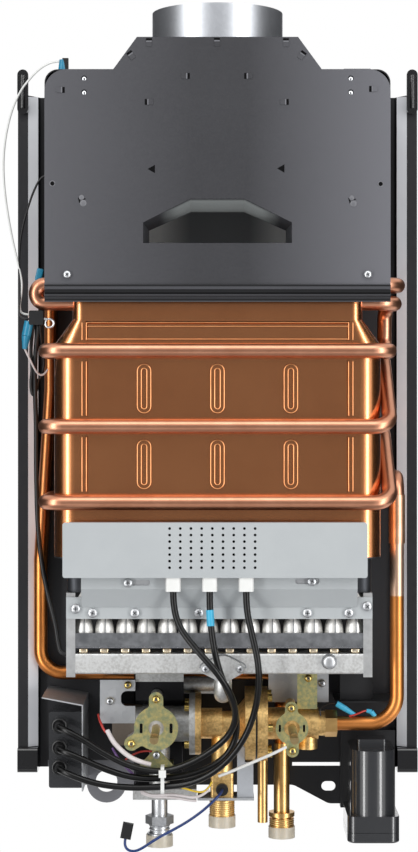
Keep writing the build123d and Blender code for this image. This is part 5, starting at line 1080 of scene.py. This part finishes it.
@dataclass(frozen=True)
class IgniterMouths:
    """Rubber grommets where the three leads enter the igniter."""

    x: float = -134.5
    levels: Levels = (-557.0, -575.5, -592.5)
    face: float = -70.6
    reach: float = 6.5
    foot: float = 5.0
    mouth: float = 3.5
    bead_out: float = 0.4
    bead_radius: float = 5.4
    bead_thick: float = 1.3

    def build(self) -> None:
        """Seat a tapered grommet with a bead round its foot on each outlet."""
        grommets = Mould("igniter_grommets", BLACK_RUBBER)
        for z in self.levels:
            grommets.rod((self.x, self.face, z), (self.x, self.face - self.reach, z), self.foot, self.mouth)
            grommets.ring((self.x, self.face - self.bead_out, z), self.bead_radius, self.bead_thick, FRONT)
        grommets.cast()


@dataclass(frozen=True)
class Sleeves:
    """Insulating sleeves and terminals of one finish on the wires.

    A taper has its two ends and the radius at each, a flat terminal its middle, size, turn and rounded edge,
    and an eye its centre, radius and thickness.
    """

    name: str
    finish: Finish
    tapers: tuple[tuple[Point, Point, float, float], ...]
    flats: tuple[tuple[Point, Point, float, float], ...] = ()
    eyes: tuple[tuple[Point, float, float], ...] = ()

    def build(self) -> None:
        """Make the sleeves and terminals."""
        mould = Mould(self.name, self.finish)
        for taper in self.tapers:
            mould.rod(*taper)
        for flat in self.flats:
            mould.block(*flat)
        for eye in self.eyes:
            mould.ring(*eye, FRONT)
        mould.cast()


SLEEVES: tuple[Sleeves, ...] = (
    Sleeves("loom_terminals", TEAL_SLEEVE, (
        ((-130.0, -95.0, -4.0), (-130.0, -95.0, 5.4), 3.7, 2.6),
        ((-158.2, -93.0, -214.0), (-160.6, -93.0, -226.0), 3.9, 3.9),
        ((-160.6, -93.0, -226.0), (-162.0, -92.0, -237.0), 3.9, 2.0)),
        flats=(((-150.4, -82.0, -174.2), (6.0, 5.0, 10.5), 12.0, 1.2),)),
    Sleeves("ring_terminal", SCREW_ZINC, (((-145.5, -95.0, -212.0), (-142.6, -95.0, -212.6), 1.4, 1.4),),
            eyes=(((-141.0, -95.0, -215.6), 3.6, 0.9),)),
    Sleeves("joint_sleeves", CYAN_SLEEVE, (
        ((101.8, -60.0, -539.6), (109.0, -60.0, -544.0), 2.6, 2.6),
        ((109.0, -60.0, -544.0), (117.6, -60.0, -549.4), 2.6, 1.7),
        ((127.4, -60.5, -545.6), (131.6, -60.5, -546.6), 1.6, 2.2),
        ((131.6, -60.5, -546.6), (134.8, -60.5, -550.4), 2.2, 1.8))),
    Sleeves("lead_marker", CYAN_SLEEVE, (((-6.3, -130.3, -452.6), (-5.5, -131.2, -465.7), 3.2, 3.2),)),
)


@dataclass(frozen=True)
class BracketBacking:
    """Sheet behind the slots of the electrode bracket, and a dark sheet of painted shadow behind the cover's
    sighting holes.
    """

    places: Points = ((-65.5, -123.6, -430.6), (74.0, -123.6, -429.4))
    size: Point = (23.0, 0.5, 6.4)
    hole_shadow_middle: Point = (-4.2, -134.7, -401.4)
    hole_shadow_size: Point = (76.0, 0.4, 38.0)

    def build(self) -> None:
        """Put a sheet behind each slot and the sheet of painted shadow behind the holes."""
        sheets = Mould("bracket_backing", SCREW_ZINC)
        for place in self.places:
            sheets.block(place, self.size)
        sheets.cast()
        hole_shadow = Mould("cover_hole_shadow", SHADOW)
        hole_shadow.block(self.hole_shadow_middle, self.hole_shadow_size)
        hole_shadow.cast()


@dataclass(frozen=True)
class PanEdges:
    """Bands of painted sheen along the pan's slanted edges, and the rounded backs of the upper catches."""

    outer: Point = (166.0, -15.5)
    inner: Point = (157.6, -10.6)
    thick: float = 0.5
    top: float = -14.0
    bottom: float = -584.0
    ridge_place: Point = (170.2, -20.4)
    ridge_top: float = 4.0
    ridge_bottom: float = -25.0
    ridge_radius: float = 2.2

    def build(self) -> None:
        """Lay the painted sheen and round the catches."""
        sheen = Mould("pan_side_sheen", STRIP_SHEEN)
        ridges = Mould("catch_ridges", GLOSS_BLACK)
        backs = [(x, y + self.thick) for x, y in (self.inner, self.outer)]
        x, y = self.ridge_place
        for side in SIDES:
            plan = [(side * across, depth) for across, depth in (self.outer, self.inner, *backs)]
            sheen.prism(plan, self.bottom, self.top)
            ridges.rod((side * x, y, self.ridge_bottom), (side * x, y, self.ridge_top), self.ridge_radius)
        sheen.cast()
        ridges.cast()


@dataclass(frozen=True)
class Lamp:
    """A softbox of the studio, in metres and watts."""

    name: str
    place: Point
    aim: Point
    size: Point
    watts: float

    def build(self) -> None:
        """Hang the softbox and aim it."""
        light = bpy.data.lights.new(self.name, "AREA")
        light.shape = "RECTANGLE"
        light.size, light.size_y = self.size
        light.energy = self.watts
        lamp = new_object(self.name, light)
        lamp.location = self.place
        lamp.rotation_euler = (Vector(self.aim) - Vector(self.place)).to_track_quat("-Z", "Y").to_euler()


@dataclass(frozen=True)
class Card:
    """A grey card that only shows in polished metal, in metres."""

    name: str
    place: Point
    aim: Point
    size: Point
    colour: str

    def build(self) -> None:
        """Stand the card up, facing the heater."""
        turn = (Vector(self.aim) - Vector(self.place)).to_track_quat("Z", "Y").to_matrix().to_4x4()
        shape = Matrix.Translation(self.place) @ turn @ Matrix.Diagonal((*self.size, 1.0, 1.0))
        sheet = bmesh.new()
        bmesh.ops.create_grid(sheet, x_segments=1, y_segments=1, size=0.5, matrix=shape)
        data = bpy.data.meshes.new(self.name)
        sheet.to_mesh(data)
        sheet.free()
        material = bpy.data.materials.new(self.name)
        tree = bare_tree(material)
        glow = add_node(tree, "Emission", {"Color": linear(self.colour), "Strength": 1.0})
        add_node(tree, "OutputMaterial", {"Surface": glow.outputs["Emission"]})
        data.materials.append(material)
        card = new_object(self.name, data)
        card.visible_camera = False
        card.visible_diffuse = False
        card.visible_transmission = False
        card.visible_shadow = False


def pair(right: Lamp | Card) -> tuple[Lamp | Card, ...]:
    """Return a lamp or card at the heater's right and its mirror image at the left."""
    x, y, z = right.place
    return tuple(replace(right, name=f"{right.name}_{side}", place=(sign * x, y, z))
                 for side, sign in zip(("left", "right"), SIDES))


@dataclass(frozen=True)
class Studio:
    """White surroundings, soft lamps, grey cards and the camera in front of the heater."""

    camera_place: Point = (0.0, -1.85, -0.28)
    sensor_mm: float = 36.0
    lens_mm: float = 180.2
    shift: Point = (-0.0203, -0.0622)
    white: str = "#ffffff"
    daylight: str = "#c4c6c9"
    lamps: tuple[Lamp, ...] = (
        *pair(Lamp("softbox", (1.1, -1.2, -0.25), (0.0, -0.06, -0.3), (0.3, 2.4), 18.0)),
        Lamp("softbox_top", (0.0, -1.0, 1.0), (0.0, -0.06, -0.2), (1.2, 0.6), 6.5),
    )
    cards: tuple[Card, ...] = (
        Card("card_front", (0.0, -2.6, -0.3), (0.0, 0.0, -0.3), (2.3, 2.2), "#828285"),
        *pair(Card("card", (1.6, 1.4, -0.3), (0.0, -0.1, -0.3), (2.6, 2.4), "#303032")),
        *pair(Card("flag", (1.8, -0.15, -0.3), (0.0, -0.1, -0.3), (1.2, 2.4), "#2a2a2c")),
        Card("card_floor", (0.0, -0.6, -1.5), (0.0, -0.1, -0.3), (2.6, 1.6), "#a0a0a3"),
    )

    def surround(self) -> None:
        """Make the world white to the eye and in reflections, and soft grey as a light."""
        world = bpy.data.worlds.new("white_room")
        bpy.context.scene.world = world
        tree = bare_tree(world)
        rays = add_node(tree, "LightPath").outputs
        seen = number_of(tree, "MAXIMUM", rays["Is Camera Ray"], rays["Is Transmission Ray"])
        shown = number_of(tree, "MAXIMUM", seen, rays["Is Glossy Ray"])
        colour = blend(tree, shown, linear(self.daylight), linear(self.white))
        sky = add_node(tree, "Background", {"Color": colour, "Strength": 1.0})
        add_node(tree, "OutputWorld", {"Surface": sky.outputs["Background"]})

    def watch(self) -> None:
        """Set up the camera square to the wall."""
        lens = bpy.data.cameras.new("camera")
        lens.sensor_fit = "HORIZONTAL"
        lens.sensor_width = self.sensor_mm
        lens.lens = self.lens_mm
        lens.shift_x, lens.shift_y = self.shift
        lens.dof.use_dof = False
        camera = new_object("camera", lens)
        camera.location = self.camera_place
        camera.rotation_euler = (math.radians(90), 0.0, 0.0)
        bpy.context.scene.camera = camera

    def build(self) -> None:
        """Light the heater and look at it."""
        self.surround()
        for thing in (*self.lamps, *self.cards):
            thing.build()
        self.watch()
        bpy.context.scene.view_settings.view_transform = "Standard"


def dress(nodes: dict[str, bpy.types.Object]) -> None:
    """Give every solid piece its finish.

    Args:
        nodes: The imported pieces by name.
    """
    for finish, names in FINISHED_NODES.items():
        for name in names:
            slots = nodes[name].data.materials
            slots.clear()
            slots.append(material_of(finish))
            LOG.info("dressed %s in %s", name, finish.name)


def main() -> None:
    """Build the whole picture."""
    logging.basicConfig(level=logging.INFO, format="%(name)s: %(message)s")
    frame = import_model()
    dress(frame["nodes"])
    details = (*CORDS, *SMALL_WIRES, *SCREW_ROWS, HoodFront(), Connections(), KnobPlates(), BurnerFront(),
               IgniterMouths(), *SLEEVES, BracketBacking(), ShellBeads(), PanEdges())
    for detail in details:
        detail.build()
        LOG.info("built %s", getattr(detail, "name", type(detail).__name__))
    Studio().build()


if __name__ == "__main__":
    main()
